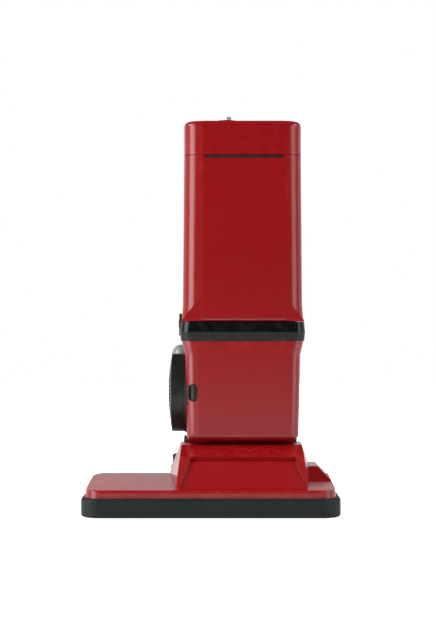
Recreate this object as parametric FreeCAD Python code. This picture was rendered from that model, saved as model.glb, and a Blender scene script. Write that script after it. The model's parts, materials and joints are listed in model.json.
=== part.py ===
"""Upright vacuum cleaner with an offset wide power head, modelled as an assembly.

Frame: millimetres, +Z up, the front faces -Y, +X is the operator's-eye right of the front view.
The origin is on the floor, in the middle of the overall width and depth.
The power head is the fixed body. The tall body reclines on it about one cross shaft.
"""
import FreeCAD
import Part
import math
import os

V = FreeCAD.Vector
X_AXIS = V(1, 0, 0)
Y_AXIS = V(0, 1, 0)
Z_AXIS = V(0, 0, 1)

# ---------------------------------------------------------------- driving dimensions
HEAD_WIDTH = 474.0          # over the bumper, for a 450 mm (18 in) cleaning path
OVERALL_DEPTH = 338.0       # bumper face to the cord hooks
FRONT = -OVERALL_DEPTH / 2  # y of the bumper's front face
REAR = OVERALL_DEPTH / 2
BODY_X = 60.0               # the tall body stands off-centre over the head
WALL = 3.0                  # moulded housings
THIN = 2.5                  # moulded covers and ducts
GAP = 0.5                   # between a moving piece and its neighbour


def behind_front(distance):
    """y of a plane that lies this far behind the bumper's front face."""
    return FRONT + distance


# body, measured from the floor
BODY_FRONT = behind_front(125)
BODY_REAR = behind_front(295)
LOWER_BOTTOM = 128.0
BAND_BOTTOM = 318.2
BAND_RIDGE = 335.4
BAND_TOP = 354.5
DOOR_BOTTOM = 354.9
DOOR_TOP = 670.8
HINGE_Y = BODY_FRONT + 6.0       # bag door hinge, inside its rounded lower front edge
HINGE_Z = DOOR_BOTTOM + 6.0
DOOR_SWING_R = 310.2             # the door's top edge is struck from the hinge
CAP_BOTTOM = 672.0
CAP_TOP = 737.0
CAP_ROLL = 9.5                  # radius of the cap's rolled top edge
SPLIT_Y = behind_front(200)      # bag door in front, bag housing behind
UPPER_HALF = 114.3
UPPER_TAPER = 2.5                # how much narrower each side is at the top
FLARE_HALF = 116.6
FLARE_TOP = 388.0
LOWER_HALF_TOP = 116.4
LOWER_HALF_MID = 110.0
LOWER_HALF_BOTTOM = 107.0
LOWER_ROLL = 12.0                # radius of the lower shell's rolled foot
LOWER_SHOULDER_Z = 291.0
BAND_HALF = 119.4

# recline shaft
PIVOT_Y = behind_front(245)
PIVOT_Z = 75.0
PIVOT_R = 6.0

# power head
HOOD_LEFT = -230.0
HOOD_RIGHT = 229.0
HOOD_FRONT = behind_front(10)
WING_REAR = behind_front(200)
ARM_LEFT = -80.0                 # outer face of the left rear arm
ARM_REAR = behind_front(260)
ARM_INNER_LEFT = -60.0
ARM_INNER_RIGHT = 170.0
RIM_Z = 34.0                     # where hood and chassis meet
FLOOR_Z = 8.0                    # underside of the chassis floor
BUMPER_BOTTOM = 0.6
BUMPER_ROLL = 4.0                # radius of the bumper's lower edge
FAIRING_TOP = 121.0
FAIRING_REAR = behind_front(208)

# running gear and brush
WHEEL_R = 33.0
WHEEL_W = 21.0
WHEEL_Y = behind_front(295)
WHEEL_LEFT_X = -81.5             # outer face of the left wheel
WHEEL_RIGHT_X = 183.5            # inner face of the right wheel
AXLE_R = 4.0
ROLLER_R = 11.0
ROLLER_W = 16.0
ROLLER_Y = behind_front(122)
ROLLER_X = (-185.0, 185.0)
BRUSH_Y = behind_front(62)
BRUSH_Z = 24.5
BRUSH_CORE_R = 15.0
BRUSH_TIP_R = 23.5
BRUSH_LEFT = -204.0
BRUSH_RIGHT = 196.0
BELT_X = 205.0
BELT_W = 9.0
BELT_T = 1.6
BRUSH_TEETH = 26
MOTOR_TEETH = 18
TOOTH_PITCH = math.pi            # so a pulley's pitch radius is half its tooth count
BRUSH_MOTOR_Y = behind_front(178)
BRUSH_MOTOR_Z = 40.0
BRUSH_MOTOR_R = 25.0

# suction motor, filters and air path
FAN_X = 75.0
FAN_Y = behind_front(210)
FAN_Z = 216.0
EXHAUST_Y = behind_front(213)
EXHAUST_R = 76.0
FAN_R = 61.0
HOSE_R = 19.0
DUCT_R = 17.0
RISER_X = 30.0
RISER_Y = BODY_REAR + 22.0       # the air riser stands clear behind the body
RISER_TOP_Z = 604.0
ELBOW_Z = 288.0
ELBOW_X = -61.0
LOWER_ELBOW_X = -24.0
ELBOW_BEND = 22.0
HOSE_BEND = 50.0

# wand socket
SOCKET_X = 30.0
SOCKET_Y = behind_front(263)
SOCKET_BORE_R = 17.6             # takes a 35 mm wand
SOCKET_BOTTOM = 640.0
SOCKET_TOP = 754.5


# ---------------------------------------------------------------- helpers
def save(name, shape):
    """Writes one sub-part, which may be several solids."""
    solids = shape.Solids
    if not solids:
        raise ValueError(name + " has no solid")
    for solid in solids:
        if not solid.isValid() or solid.Volume <= 0:
            raise ValueError(name + " has a bad solid")
    out = solids[0] if len(solids) == 1 else Part.makeCompound(solids)
    out.exportStep("parts/" + name + ".step")


def box(x0, x1, y0, y1, z0, z1):
    return Part.makeBox(x1 - x0, y1 - y0, z1 - z0, V(x0, y0, z0))


def cyl_x(x0, x1, y, z, r):
    return Part.makeCylinder(r, x1 - x0, V(x0, y, z), X_AXIS)


def cyl_y(y0, y1, x, z, r):
    return Part.makeCylinder(r, y1 - y0, V(x, y0, z), Y_AXIS)


def cyl_z(z0, z1, x, y, r):
    return Part.makeCylinder(r, z1 - z0, V(x, y, z0), Z_AXIS)


def join(shapes):
    """Fuses the shapes, and merges split faces where that leaves a sound solid."""
    if len(shapes) == 1:
        return shapes[0]
    fused = shapes[0].fuse(shapes[1:])
    merged = fused.removeSplitter()
    return merged if merged.isValid() else fused


def corner(before, at, after, r):
    """Tangent points and middle of the arc that rounds one corner of a flat outline."""
    a = (before - at).normalize()
    b = (after - at).normalize()
    half = a.getAngle(b) / 2
    reach = r / math.tan(half)
    middle = (a + b).normalize()
    return at + a * reach, at + middle * (r / math.sin(half) - r), at + b * reach


def outline(points, place):
    """A closed wire through (u, v, radius) corners. place turns (u, v) into a point in space."""
    spots = [place(u, v) for u, v, _ in points]
    count = len(points)
    rounds = []
    for i in range(count):
        r = points[i][2]
        at = spots[i]
        if r > 0:
            before = V(spots[i - 1])
            after = V(spots[(i + 1) % count])
            rounds.append(corner(before, V(at), after, r))
        else:
            rounds.append((at, None, at))
    edges = []
    for i in range(count):
        start, middle, end = rounds[i]
        if middle is not None:
            edges.append(Part.Arc(start, middle, end).toShape())
        following = rounds[(i + 1) % count][0]
        if (following - end).Length > 1e-6:
            edges.append(Part.LineSegment(end, following).toShape())
    return Part.Wire(edges)


def plan(points, z):
    return outline(points, lambda u, v: V(u, v, z))


def prism(points, z0, z1):
    """A plan outline carried straight up from z0 to z1."""
    return Part.Face(plan(points, z0)).extrude(V(0, 0, z1 - z0))


def side_slab(points, x0, x1):
    """A side outline of (y, z, radius) corners carried from x0 to x1."""
    wire = outline(points, lambda u, v: V(x0, u, v))
    return Part.Face(wire).extrude(V(x1 - x0, 0, 0))


def front_slab(points, y0, y1):
    """A front outline of (x, z, radius) corners carried from y0 to y1."""
    wire = outline(points, lambda u, v: V(u, y0, v))
    return Part.Face(wire).extrude(V(0, y1 - y0, 0))


def loft(wires):
    return Part.makeLoft(wires, True, True)


def pipe_arc(centre, start, end, r):
    """A round bar that follows a quarter circle about centre, from start to end."""
    middle = centre + ((start - centre) + (end - centre)).normalize() * (start - centre).Length
    path = Part.Wire([Part.Arc(start, middle, end).toShape()])
    heading = (end - centre).normalize()
    section = Part.Wire([Part.Circle(start, heading, r).toShape()])
    return path.makePipeShell([section], True, False)


def ring_x(x0, x1, y, z, outer, inner):
    return cyl_x(x0, x1, y, z, outer).cut(cyl_x(x0 - 1, x1 + 1, y, z, inner))


def ring_y(y0, y1, x, z, outer, inner):
    return cyl_y(y0, y1, x, z, outer).cut(cyl_y(y0 - 1, y1 + 1, x, z, inner))


def ring_z(z0, z1, x, y, outer, inner):
    return cyl_z(z0, z1, x, y, outer).cut(cyl_z(z0 - 1, z1 + 1, x, y, inner))


def belt_face(x, first, second):
    """The flat outline round two circles, each given as (y, z, r)."""
    y1, z1, r1 = first
    y2, z2, r2 = second
    span = math.hypot(y2 - y1, z2 - z1)
    along = V(0, (y2 - y1) / span, (z2 - z1) / span)
    across = V(0, -along.z, along.y)
    lean = (r1 - r2) / span
    rise = math.sqrt(1 - lean * lean)
    c1 = V(x, y1, z1)
    c2 = V(x, y2, z2)
    top1 = c1 + (along * lean + across * rise) * r1
    low1 = c1 + (along * lean - across * rise) * r1
    top2 = c2 + (along * lean + across * rise) * r2
    low2 = c2 + (along * lean - across * rise) * r2
    edges = [
        Part.Arc(top1, c1 - along * r1, low1).toShape(),
        Part.LineSegment(low1, low2).toShape(),
        Part.Arc(low2, c2 + along * r2, top2).toShape(),
        Part.LineSegment(top2, top1).toShape(),
    ]
    return Part.Face(Part.Wire(edges))


# ---------------------------------------------------------------- body sections
UPPER_FACET = (75.5, 80.0)     # the door's flat middle, left and right of the body's centre
LOWER_FACET = (84.0, 84.0)
FACET_DROP = 8.0               # how far the outer strips fall back
LOWER_DROP = 5.0
FRONT_R = 30.0
LOWER_FRONT_R = 21.0
REAR_R = 18.0
GUSSET_IN = 80.0       # half-width where the gusset's slope dies out on the front face
GUSSET_TOP = 402.0
GUSSET_OUT = 115.8
GUSSET_LOW = 358.5
GUSSET_DEPTH = 34.0
BAND_STEP = 2.5        # how far the band's ridge stands out
ROLL_STEPS = 5
BIG = 1000.0           # larger than the machine, for cutting boxes


def section(half, inset=0.0, out=0.0, facet=UPPER_FACET):
    """Plan corners of the body: flat middle, strips that fall back, round corners."""
    upper = facet == UPPER_FACET
    drop = FACET_DROP if upper else LOWER_DROP
    front_r = (FRONT_R if upper else LOWER_FRONT_R) - inset + min(0.0, out) * 0.5
    front = BODY_FRONT + inset - out
    side = half - inset
    rear = BODY_REAR - inset + out
    rear_r = REAR_R - inset + min(0.0, out) * 0.5
    c = BODY_X
    pull = min(0.0, out) * 0.6
    return [
        (c - facet[0] - pull, front, 3.0),
        (c + facet[1] + pull, front, 3.0),
        (c + side, front + drop, front_r),
        (c + side, rear, rear_r),
        (c - side, rear, rear_r),
        (c - side, front + drop, front_r),
    ]


def stack(plans):
    """One solid through a rising list of plan wires."""
    return join([loft(list(pair)) for pair in zip(plans, plans[1:])])


def rolled_plans(half, inset, facet, z_edge, r, way):
    """Plans that curl inwards over a quarter circle. way is +1 upwards, -1 downwards."""
    plans = []
    for k in range(ROLL_STEPS + 1):
        angle = math.pi / 2 * k / ROLL_STEPS
        pull = r * (1 - math.cos(angle))
        plans.append(plan(section(half - pull, inset, -pull, facet), z_edge + way * r * math.sin(angle)))
    return plans


def upper_body(inset, z_low, z_high):
    """The upper body's outer form, or its cavity when inset is the wall."""
    return stack([plan(section(FLARE_HALF, inset), z_low),
                  plan(section(UPPER_HALF, inset), FLARE_TOP),
                  plan(section(UPPER_HALF - UPPER_TAPER, inset), z_high)])


def lower_body(inset, z_low, z_high):
    """The lower body's outer form on its rolled foot, or its cavity."""
    r = LOWER_ROLL - inset
    foot = rolled_plans(LOWER_HALF_BOTTOM, inset, LOWER_FACET, z_low + r, r, -1)
    return stack(foot[::-1] + [plan(section(LOWER_HALF_MID, inset, 0.0, LOWER_FACET), LOWER_SHOULDER_Z),
                               plan(section(LOWER_HALF_TOP, inset, 0.0, LOWER_FACET), z_high)])


def gussets():
    """Two corner wedges that square off the front corners just above the band."""
    wedges = []
    for side in (-1, 1):
        points = [
            (BODY_X + side * GUSSET_IN, DOOR_BOTTOM, 0),
            (BODY_X + side * FLARE_HALF, DOOR_BOTTOM, 0),
            (BODY_X + side * GUSSET_OUT, GUSSET_LOW, 2.0),
            (BODY_X + side * GUSSET_IN, GUSSET_TOP, 0),
        ]
        wedges.append(front_slab(points, BODY_FRONT + 0.6, BODY_FRONT + GUSSET_DEPTH))
    return wedges


# ---------------------------------------------------------------- power head shells
WING_FRONT_TOP = 49.0
WING_REAR_TOP = 61.5
SHOULDER_TOP = 77.0
WING_LEAN = 3.0        # how far the hood's sides lean in over their height
SHELF_Y = -89.0        # front lip of the shelf under the body
SHELF_Z = 104.0


def wing(inset, z_low):
    """The low wide part of the hood: sides that lean in, under a top that rises to the rear."""
    front = HOOD_FRONT + inset
    rear = WING_REAR - inset

    def corners(lean):
        left = HOOD_LEFT + inset + lean
        right = HOOD_RIGHT - inset - lean
        return [(left, front + lean * 0.3, 30.0 - inset), (right, front + lean * 0.3, 30.0 - inset),
                (right, rear, 8.0 - inset), (left, rear, 40.0 - inset)]

    profile = [
        (front, z_low, 0),
        (front, WING_FRONT_TOP - inset, 7.0),
        (rear, WING_REAR_TOP - inset, 8.0),
        (rear, z_low, 0),
    ]
    tall = loft([plan(corners(0.0), z_low), plan(corners(WING_LEAN), WING_REAR_TOP + 1)])
    return tall.common(side_slab(profile, HOOD_LEFT, HOOD_RIGHT))


def shoulder(inset, z_low):
    """The raised right rear of the hood, over the belt and the right pivot."""
    rear = ARM_REAR - inset
    inner = ARM_INNER_RIGHT - 12.0 + inset
    top = SHOULDER_TOP - inset
    profile = [(-95.0 + inset, z_low, 0), (-95.0 + inset, 46.0 - inset, 0), (-5.0 + inset, top, 18.0),
               (rear, top, 12.0), (rear, z_low, 0)]
    across = [(inner, z_low, 0), (inner, top + 1, 0), (204.0 - inset, top + 1, 9.0),
              (227.0 - inset, 56.0 - inset, 8.0), (HOOD_RIGHT - inset, z_low, 0)]
    outline_points = [(inner, -95.0 + inset, 0), (HOOD_RIGHT - inset, -95.0 + inset, 0),
                      (HOOD_RIGHT - inset, rear, 16.0 - inset), (inner, rear, 0)]
    shape = side_slab(profile, inner, HOOD_RIGHT)
    shape = shape.common(front_slab(across, -100.0, ARM_REAR)).common(prism(outline_points, z_low, top + 2))
    gap_edge = ARM_INNER_RIGHT + inset
    behind = box(0, gap_edge, FAIRING_REAR - inset, ARM_REAR + 1, z_low - 1, top + 5)
    return shape.cut(behind)


def fairing(inset, z_low):
    """The neck that climbs from the hood's front to the shelf under the body."""
    rear = FAIRING_REAR - inset
    front = -142.0 + inset
    low = [(-66.0 + inset, front, 6.0), (178.0 - inset, front, 6.0),
           (207.0 - inset, rear, 6.0), (-92.0 + inset, rear, 6.0)]
    high = [(-51.5 + inset, front, 6.0), (168.5 - inset, front, 6.0),
            (175.0 - inset, rear, 6.0), (-60.0 + inset, rear, 6.0)]
    top = FAIRING_TOP - inset
    solid = loft([plan(low, z_low), plan(high, FAIRING_TOP)])
    profile = [
        (front, z_low, 0),
        (front, 50.0 - inset, 3.0),
        (SHELF_Y + inset, SHELF_Z - inset, 10.0),
        (-34.0 + inset, top, 8.0),
        (rear, top, 3.0),
        (rear, z_low, 0),
    ]
    return solid.common(side_slab(profile, -100.0, 210.0))


def panel_recess():
    """The shallow sunk panel on the neck's sloping front, under the shelf's lip."""
    points = [
        (-160.0, 49.8, 0), (-160.0, 60.0, 0), (SHELF_Y - 4.0, SHELF_Z + 4.0, 0),
        (SHELF_Y + 3.0, SHELF_Z - 6.5, 0), (-137.0, 51.2, 0),
    ]
    slab = side_slab(points, -66.0, 184.0)
    low = [(-62.0, -170.0, 3.0), (181.0, -170.0, 3.0), (181.0, 0.0, 3.0), (-62.0, 0.0, 3.0)]
    high = [(-30.0, -170.0, 3.0), (149.0, -170.0, 3.0), (149.0, 0.0, 3.0), (-30.0, 0.0, 3.0)]
    return slab.common(loft([plan(low, 40.0), plan(high, FAIRING_TOP)]))


def save_hood():
    outer = join([wing(0, RIM_Z), shoulder(0, RIM_Z), fairing(0, RIM_Z)])
    low = RIM_Z - 1.0
    inner = join([wing(WALL, low), shoulder(WALL, low), fairing(WALL * 2, low)])
    ear = cyl_x(ARM_INNER_RIGHT, ARM_INNER_RIGHT + 12.0, PIVOT_Y, PIVOT_Z, 14.0)
    web = box(ARM_INNER_RIGHT, ARM_INNER_RIGHT + 12.0, PIVOT_Y - 14.0, PIVOT_Y + 12.0, RIM_Z + 1, PIVOT_Z)
    pin = cyl_x(ARM_INNER_RIGHT - 1, ARM_INNER_RIGHT + 40, PIVOT_Y, PIVOT_Z, PIVOT_R)
    lip = box(-50.0, 164.0, FAIRING_REAR - 13, FAIRING_REAR - 3, FAIRING_TOP - 5, LOWER_BOTTOM - 1.7)
    motor_room = cyl_x(69.0, 169.0, BRUSH_MOTOR_Y, BRUSH_MOTOR_Z, BRUSH_MOTOR_R + 0.5)
    hood = join([outer.cut(inner), ear, web, lip]).cut([pin, panel_recess(), motor_room])
    save("hood", hood)


CHAMBER_FRONT = BRUSH_Y - 26.0
CHAMBER_REAR = BRUSH_Y + 26.0
CHAMBER_LEFT = -207.0
CHAMBER_RIGHT = 213.0
FLOOR_TOP = FLOOR_Z + WALL
PLATE_LEFT_X = -59.9            # wheel bracket on the left arm
PLATE_RIGHT_X = 178.5
PLATE_W = 4.0
PEDAL_LEFT = -140.0
PEDAL_RIGHT = -100.0
PEDAL_Y = WING_REAR + 11.0
PEDAL_Z = 43.0
PEDAL_PIN_R = 3.0


def head_tray(inset, z_low):
    """The chassis outline: wide front, then two rear arms with a gap between them."""
    front = [
        (HOOD_LEFT + inset, HOOD_FRONT + inset, 30.0 - inset),
        (HOOD_RIGHT - inset, HOOD_FRONT + inset, 30.0 - inset),
        (HOOD_RIGHT - inset, WING_REAR - inset, 8.0 - inset),
        (HOOD_LEFT + inset, WING_REAR - inset, 40.0 - inset),
    ]
    pieces = [
        prism(front, z_low, RIM_Z),
        box(-92.0 + inset, HOOD_RIGHT - inset, 10.0, FAIRING_REAR - inset, z_low, RIM_Z),
        box(ARM_LEFT + inset, ARM_INNER_LEFT - inset, 10.0, ARM_REAR - inset, z_low, RIM_Z),
        box(ARM_INNER_RIGHT + inset, HOOD_RIGHT - inset, 10.0, ARM_REAR - inset, z_low, RIM_Z),
    ]
    return join(pieces)


def wheel_plate(x0):
    """The bracket that carries one stub axle beside its wheel."""
    points = [(ARM_REAR - 45.0, 12.0, 2.0), (WHEEL_Y + 11.0, 22.0, 9.0),
              (WHEEL_Y + 11.0, 44.0, 9.0), (ARM_REAR + 10.0, 44.0, 4.0),
              (ARM_REAR + 1.0, RIM_Z - 0.5, 2.0), (ARM_REAR - 45.0, RIM_Z - 0.5, 1.0)]
    plate = side_slab(points, x0, x0 + PLATE_W)
    return plate.cut(cyl_x(x0 - 1, x0 + PLATE_W + 1, WHEEL_Y, WHEEL_R, AXLE_R))


def roller_lugs(x):
    lugs = []
    for side in (-1, 1):
        inner = x + side * (ROLLER_W / 2 + GAP)
        outer = x + side * (ROLLER_W / 2 + GAP + 4.0)
        low = min(inner, outer)
        high = max(inner, outer)
        lugs.append(box(low, high, ROLLER_Y - 6.0, ROLLER_Y + 6.0, FLOOR_Z + 0.5, 20.0))
    return lugs


def save_chassis():
    tray = head_tray(0, FLOOR_Z).cut(head_tray(WALL, FLOOR_TOP))
    divider = box(HOOD_LEFT + 2, HOOD_RIGHT - 2, CHAMBER_REAR + 1, CHAMBER_REAR + 4, FLOOR_Z + 1, RIM_Z)
    saddle = []
    for x in (90.0, 140.0):
        saddle.append(box(x, x + 6, BRUSH_MOTOR_Y - 16, BRUSH_MOTOR_Y + 16, FLOOR_Z + 1, BRUSH_MOTOR_Z - 15))
    lugs = []
    for x in ROLLER_X:
        lugs += roller_lugs(x)
    pedal_lugs = []
    for x in (PEDAL_LEFT - 6.0, PEDAL_RIGHT + 2.0):
        low = box(x, x + 4, WING_REAR - 2, WING_REAR + 19, 20.0, RIM_Z - 0.5)
        high = box(x, x + 4, WING_REAR + 0.4, WING_REAR + 19, RIM_Z - 1, PEDAL_Z + 6)
        pedal_lugs += [low, high]
    plates = [wheel_plate(PLATE_LEFT_X), wheel_plate(PLATE_RIGHT_X)]
    link_left = box(ARM_INNER_LEFT - 1, PLATE_LEFT_X + PLATE_W, ARM_REAR - 40, ARM_REAR, 14.0, 33.0)
    link_right = box(PLATE_RIGHT_X, PLATE_RIGHT_X + PLATE_W, ARM_REAR - 10, ARM_REAR, 14.0, 33.0)
    shape = join([tray, divider] + saddle + lugs + pedal_lugs + plates + [link_left, link_right])
    cuts = [
        box(CHAMBER_LEFT, CHAMBER_RIGHT, CHAMBER_FRONT, CHAMBER_REAR, 0, FLOOR_TOP + 0.5),
        box(198.0, 213.0, CHAMBER_REAR - 1, CHAMBER_REAR + 6, FLOOR_TOP, RIM_Z + 1),
        box(-77.0, -43.5, CHAMBER_REAR - 1, CHAMBER_REAR + 6, FLOOR_TOP + 0.5, RIM_Z + 1),
        cyl_x(80, 160, BRUSH_MOTOR_Y, BRUSH_MOTOR_Z, BRUSH_MOTOR_R),
        cyl_x(PEDAL_LEFT - 10, PEDAL_RIGHT + 10, PEDAL_Y, PEDAL_Z, PEDAL_PIN_R),
    ]
    for x in ROLLER_X:
        half = ROLLER_W / 2 + GAP
        cuts.append(box(x - half, x + half, ROLLER_Y - ROLLER_R - 1.5, ROLLER_Y + ROLLER_R + 1.5, 0, FLOOR_TOP + 0.1))
        cuts.append(cyl_x(x - half - 5, x + half + 5, ROLLER_Y, ROLLER_R, 2.0))
    save("chassis", shape.cut(cuts))


def save_sole_plate():
    points = [(-222.0, HOOD_FRONT + 4, 22.0), (222.0, HOOD_FRONT + 4, 22.0),
              (222.0, ROLLER_Y - 15, 6.0), (-222.0, ROLLER_Y - 15, 6.0)]
    plate = prism(points, FLOOR_Z - 1.5, FLOOR_Z)
    window = box(CHAMBER_LEFT + 1, CHAMBER_RIGHT - 1, CHAMBER_FRONT + 1, CHAMBER_REAR - 1, 0, FLOOR_Z + 1)
    screws = []
    for x in (-214.0, 0.0, 214.0):
        for y in (HOOD_FRONT + 12, CHAMBER_REAR + 9):
            screws.append(cyl_z(FLOOR_Z - 2.6, FLOOR_Z - 1.5, x, y, 4.0))
    save("sole_plate", plate.cut(window))
    save("sole_screws", Part.makeCompound(screws))


def save_bumper():
    outer = [(-237.0, FRONT, 34.0), (237.0, FRONT, 34.0), (237.0, 0.0, 6.0), (-237.0, 0.0, 6.0)]
    inner = [(HOOD_LEFT - 0.1, HOOD_FRONT - 0.1, 30.0), (HOOD_RIGHT + 0.1, HOOD_FRONT - 0.1, 30.0),
             (HOOD_RIGHT + 0.1, 10.0, 0), (HOOD_LEFT - 0.1, 10.0, 0)]

    def ring(pull, z):
        return plan([(x - math.copysign(pull, x), y + pull if y < -50 else y - pull, r) for x, y, r in outer], z)

    plans = []
    for k in range(ROLL_STEPS + 1):
        angle = math.pi / 2 * k / ROLL_STEPS
        plans.append(ring(BUMPER_ROLL * (1 - math.sin(angle)), BUMPER_BOTTOM + BUMPER_ROLL * (1 - math.cos(angle))))
    plans += [ring(0.0, RIM_Z - 3.0), ring(1.0, RIM_Z - 0.5), ring(3.0, RIM_Z + 1.0)]
    body = stack(plans)
    save("bumper", body.cut(prism(inner, 0, RIM_Z + 5)))


def save_swivel_housing():
    """The left ear: a hollow box that takes air from the chamber to the swivel."""
    x0 = ARM_LEFT + 3.0
    x1 = ARM_INNER_LEFT
    outer = join([cyl_x(x0, x1, PIVOT_Y, PIVOT_Z, 23.0),
                  box(x0, x1, PIVOT_Y - 23, PIVOT_Y + 12, RIM_Z, PIVOT_Z)])
    inner = join([cyl_x(x0 + THIN + 5, x1 - THIN, PIVOT_Y, PIVOT_Z, 18.5),
                  cyl_x(x0 + THIN, x1 - THIN, PIVOT_Y, PIVOT_Z, 13.0),
                  box(x0 + THIN, x1 - THIN, PIVOT_Y - 20.5, PIVOT_Y + 9.5, RIM_Z - 1, PIVOT_Z)])
    collar = cyl_x(x1 - 6, x1 + 1, PIVOT_Y, PIVOT_Z, HOSE_R + 0.08)
    ear = outer.cut([inner, collar])
    edge = x1 - 1.0
    tip = cyl_x(x0 - 1, edge, PIVOT_Y, PIVOT_Z, 40.0)
    cone = Part.makeCone(16.0, 24.0, edge - x0 + 1, V(x0 - 1, PIVOT_Y, PIVOT_Z), X_AXIS)
    below = box(x0 - 2, edge + 1, PIVOT_Y - 50, PIVOT_Y + 50, 0, PIVOT_Z)
    ear = ear.cut(tip.cut([cone, below]))
    run = box(-77.0 + 0.3, -43.8, CHAMBER_REAR - 1, 36.0 - 0.3, 11.8, 33.6)
    bore = box(-77.0 + 2.3, -45.8, CHAMBER_REAR - 2, 36.0 + 1, 13.8, 31.6)
    save("swivel_housing", ear)
    save("suction_duct", run.cut(bore))


# ---------------------------------------------------------------- brush and its drive
def save_brush():
    core = cyl_x(BRUSH_LEFT, BRUSH_RIGHT, BRUSH_Y, BRUSH_Z, BRUSH_CORE_R)
    shaft = cyl_x(-221.0, 221.0, BRUSH_Y, BRUSH_Z, 4.0)
    rows = []
    for turn in range(4):
        row = box(BRUSH_LEFT + 6, BRUSH_RIGHT - 6, BRUSH_Y - 2.5, BRUSH_Y + 2.5,
                  BRUSH_Z + BRUSH_CORE_R - 3, BRUSH_Z + BRUSH_TIP_R)
        row.rotate(V(0, BRUSH_Y, BRUSH_Z), X_AXIS, 45.0 + 90.0 * turn)
        rows.append(row)
    save("brush_core", join([core, shaft]).cut(rows))
    save("brush_bristles", Part.makeCompound(rows))
    pulley = pulley_shape(BRUSH_Y, BRUSH_Z, BRUSH_TEETH / 2.0, 4.0)
    save("brush_pulley", pulley)
    blocks = []
    for x0, x1 in ((-223.5, -209.0), (214.5, 223.5)):
        block = box(x0, x1, BRUSH_Y - 12, BRUSH_Y + 12, FLOOR_TOP + 0.1, BRUSH_Z + 13)
        blocks.append(block.cut(cyl_x(-222.0, 222.0, BRUSH_Y, BRUSH_Z, 4.06)))
    save("brush_bearings", Part.makeCompound(blocks))


def pulley_shape(y, z, r, bore):
    """A flanged toothed pulley; the belt runs between its flanges."""
    half = BELT_W / 2 + 0.5
    rim = cyl_x(BELT_X - half, BELT_X + half, y, z, r)
    flanges = [cyl_x(BELT_X - half - 1.2, BELT_X - half, y, z, r + 2.2),
               cyl_x(BELT_X + half, BELT_X + half + 1.2, y, z, r + 2.2)]
    return join([rim] + flanges).cut(cyl_x(BELT_X - 20, BELT_X + 20, y, z, bore))


def save_brush_drive():
    gap = 0.35
    first = (BRUSH_Y, BRUSH_Z, BRUSH_TEETH / 2.0 + gap)
    second = (BRUSH_MOTOR_Y, BRUSH_MOTOR_Z, MOTOR_TEETH / 2.0 + gap)
    outer_first = (BRUSH_Y, BRUSH_Z, first[2] + BELT_T)
    outer_second = (BRUSH_MOTOR_Y, BRUSH_MOTOR_Z, second[2] + BELT_T)
    x0 = BELT_X - BELT_W / 2
    outer = belt_face(x0, outer_first, outer_second).extrude(V(BELT_W, 0, 0))
    inner = belt_face(x0 - 1, first, second).extrude(V(BELT_W + 2, 0, 0))
    save("drive_belt", outer.cut(inner))
    case = cyl_x(70.0, 168.0, BRUSH_MOTOR_Y, BRUSH_MOTOR_Z, BRUSH_MOTOR_R)
    room = cyl_x(73.0, 165.0, BRUSH_MOTOR_Y, BRUSH_MOTOR_Z, BRUSH_MOTOR_R - 2.5)
    bores = cyl_x(60.0, 180.0, BRUSH_MOTOR_Y, BRUSH_MOTOR_Z, 3.06)
    save("brush_motor_case", case.cut([room, bores]))
    stack = cyl_x(92.0, 146.0, BRUSH_MOTOR_Y, BRUSH_MOTOR_Z, 17.0)
    commutator = cyl_x(78.0, 88.0, BRUSH_MOTOR_Y, BRUSH_MOTOR_Z, 9.0)
    shaft = cyl_x(68.0, 212.0, BRUSH_MOTOR_Y, BRUSH_MOTOR_Z, 3.0)
    save("brush_motor_armature", join([stack, commutator, shaft]))
    save("motor_pulley", pulley_shape(BRUSH_MOTOR_Y, BRUSH_MOTOR_Z, MOTOR_TEETH / 2.0, 3.0))


# ---------------------------------------------------------------- running gear and pedal
def save_wheels():
    pins = []
    sides = (("left", WHEEL_LEFT_X, PLATE_LEFT_X + PLATE_W, WHEEL_LEFT_X + 0.5),
             ("right", WHEEL_RIGHT_X, PLATE_RIGHT_X, WHEEL_RIGHT_X + WHEEL_W - 0.5))
    for name, x0, pin_in, pin_out in sides:
        x1 = x0 + WHEEL_W
        tyre = ring_x(x0, x1, WHEEL_Y, WHEEL_R, WHEEL_R, WHEEL_R - 6)
        rim = ring_x(x0 + 1, x1 - 1, WHEEL_Y, WHEEL_R, WHEEL_R - 6, WHEEL_R - 9)
        web = ring_x(x0 + 8, x1 - 8, WHEEL_Y, WHEEL_R, WHEEL_R - 8.5, 8.0)
        hub = ring_x(x0 + 0.3, x1 - 0.3, WHEEL_Y, WHEEL_R, 9.0, AXLE_R + 0.06)
        save("tyre_" + name, tyre)
        save("wheel_" + name, join([rim, web, hub]))
        pins.append(cyl_x(min(pin_in, pin_out), max(pin_in, pin_out), WHEEL_Y, WHEEL_R, AXLE_R))
    save("axle_pins", Part.makeCompound(pins))
    roller_pins = []
    for name, x in zip(("left", "right"), ROLLER_X):
        half = ROLLER_W / 2
        roller = ring_x(x - half, x + half, ROLLER_Y, ROLLER_R, ROLLER_R, 2.06)
        save("roller_" + name, roller)
        roller_pins.append(cyl_x(x - half - 4.0, x + half + 4.0, ROLLER_Y, ROLLER_R, 2.0))
    save("roller_pins", Part.makeCompound(roller_pins))


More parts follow.
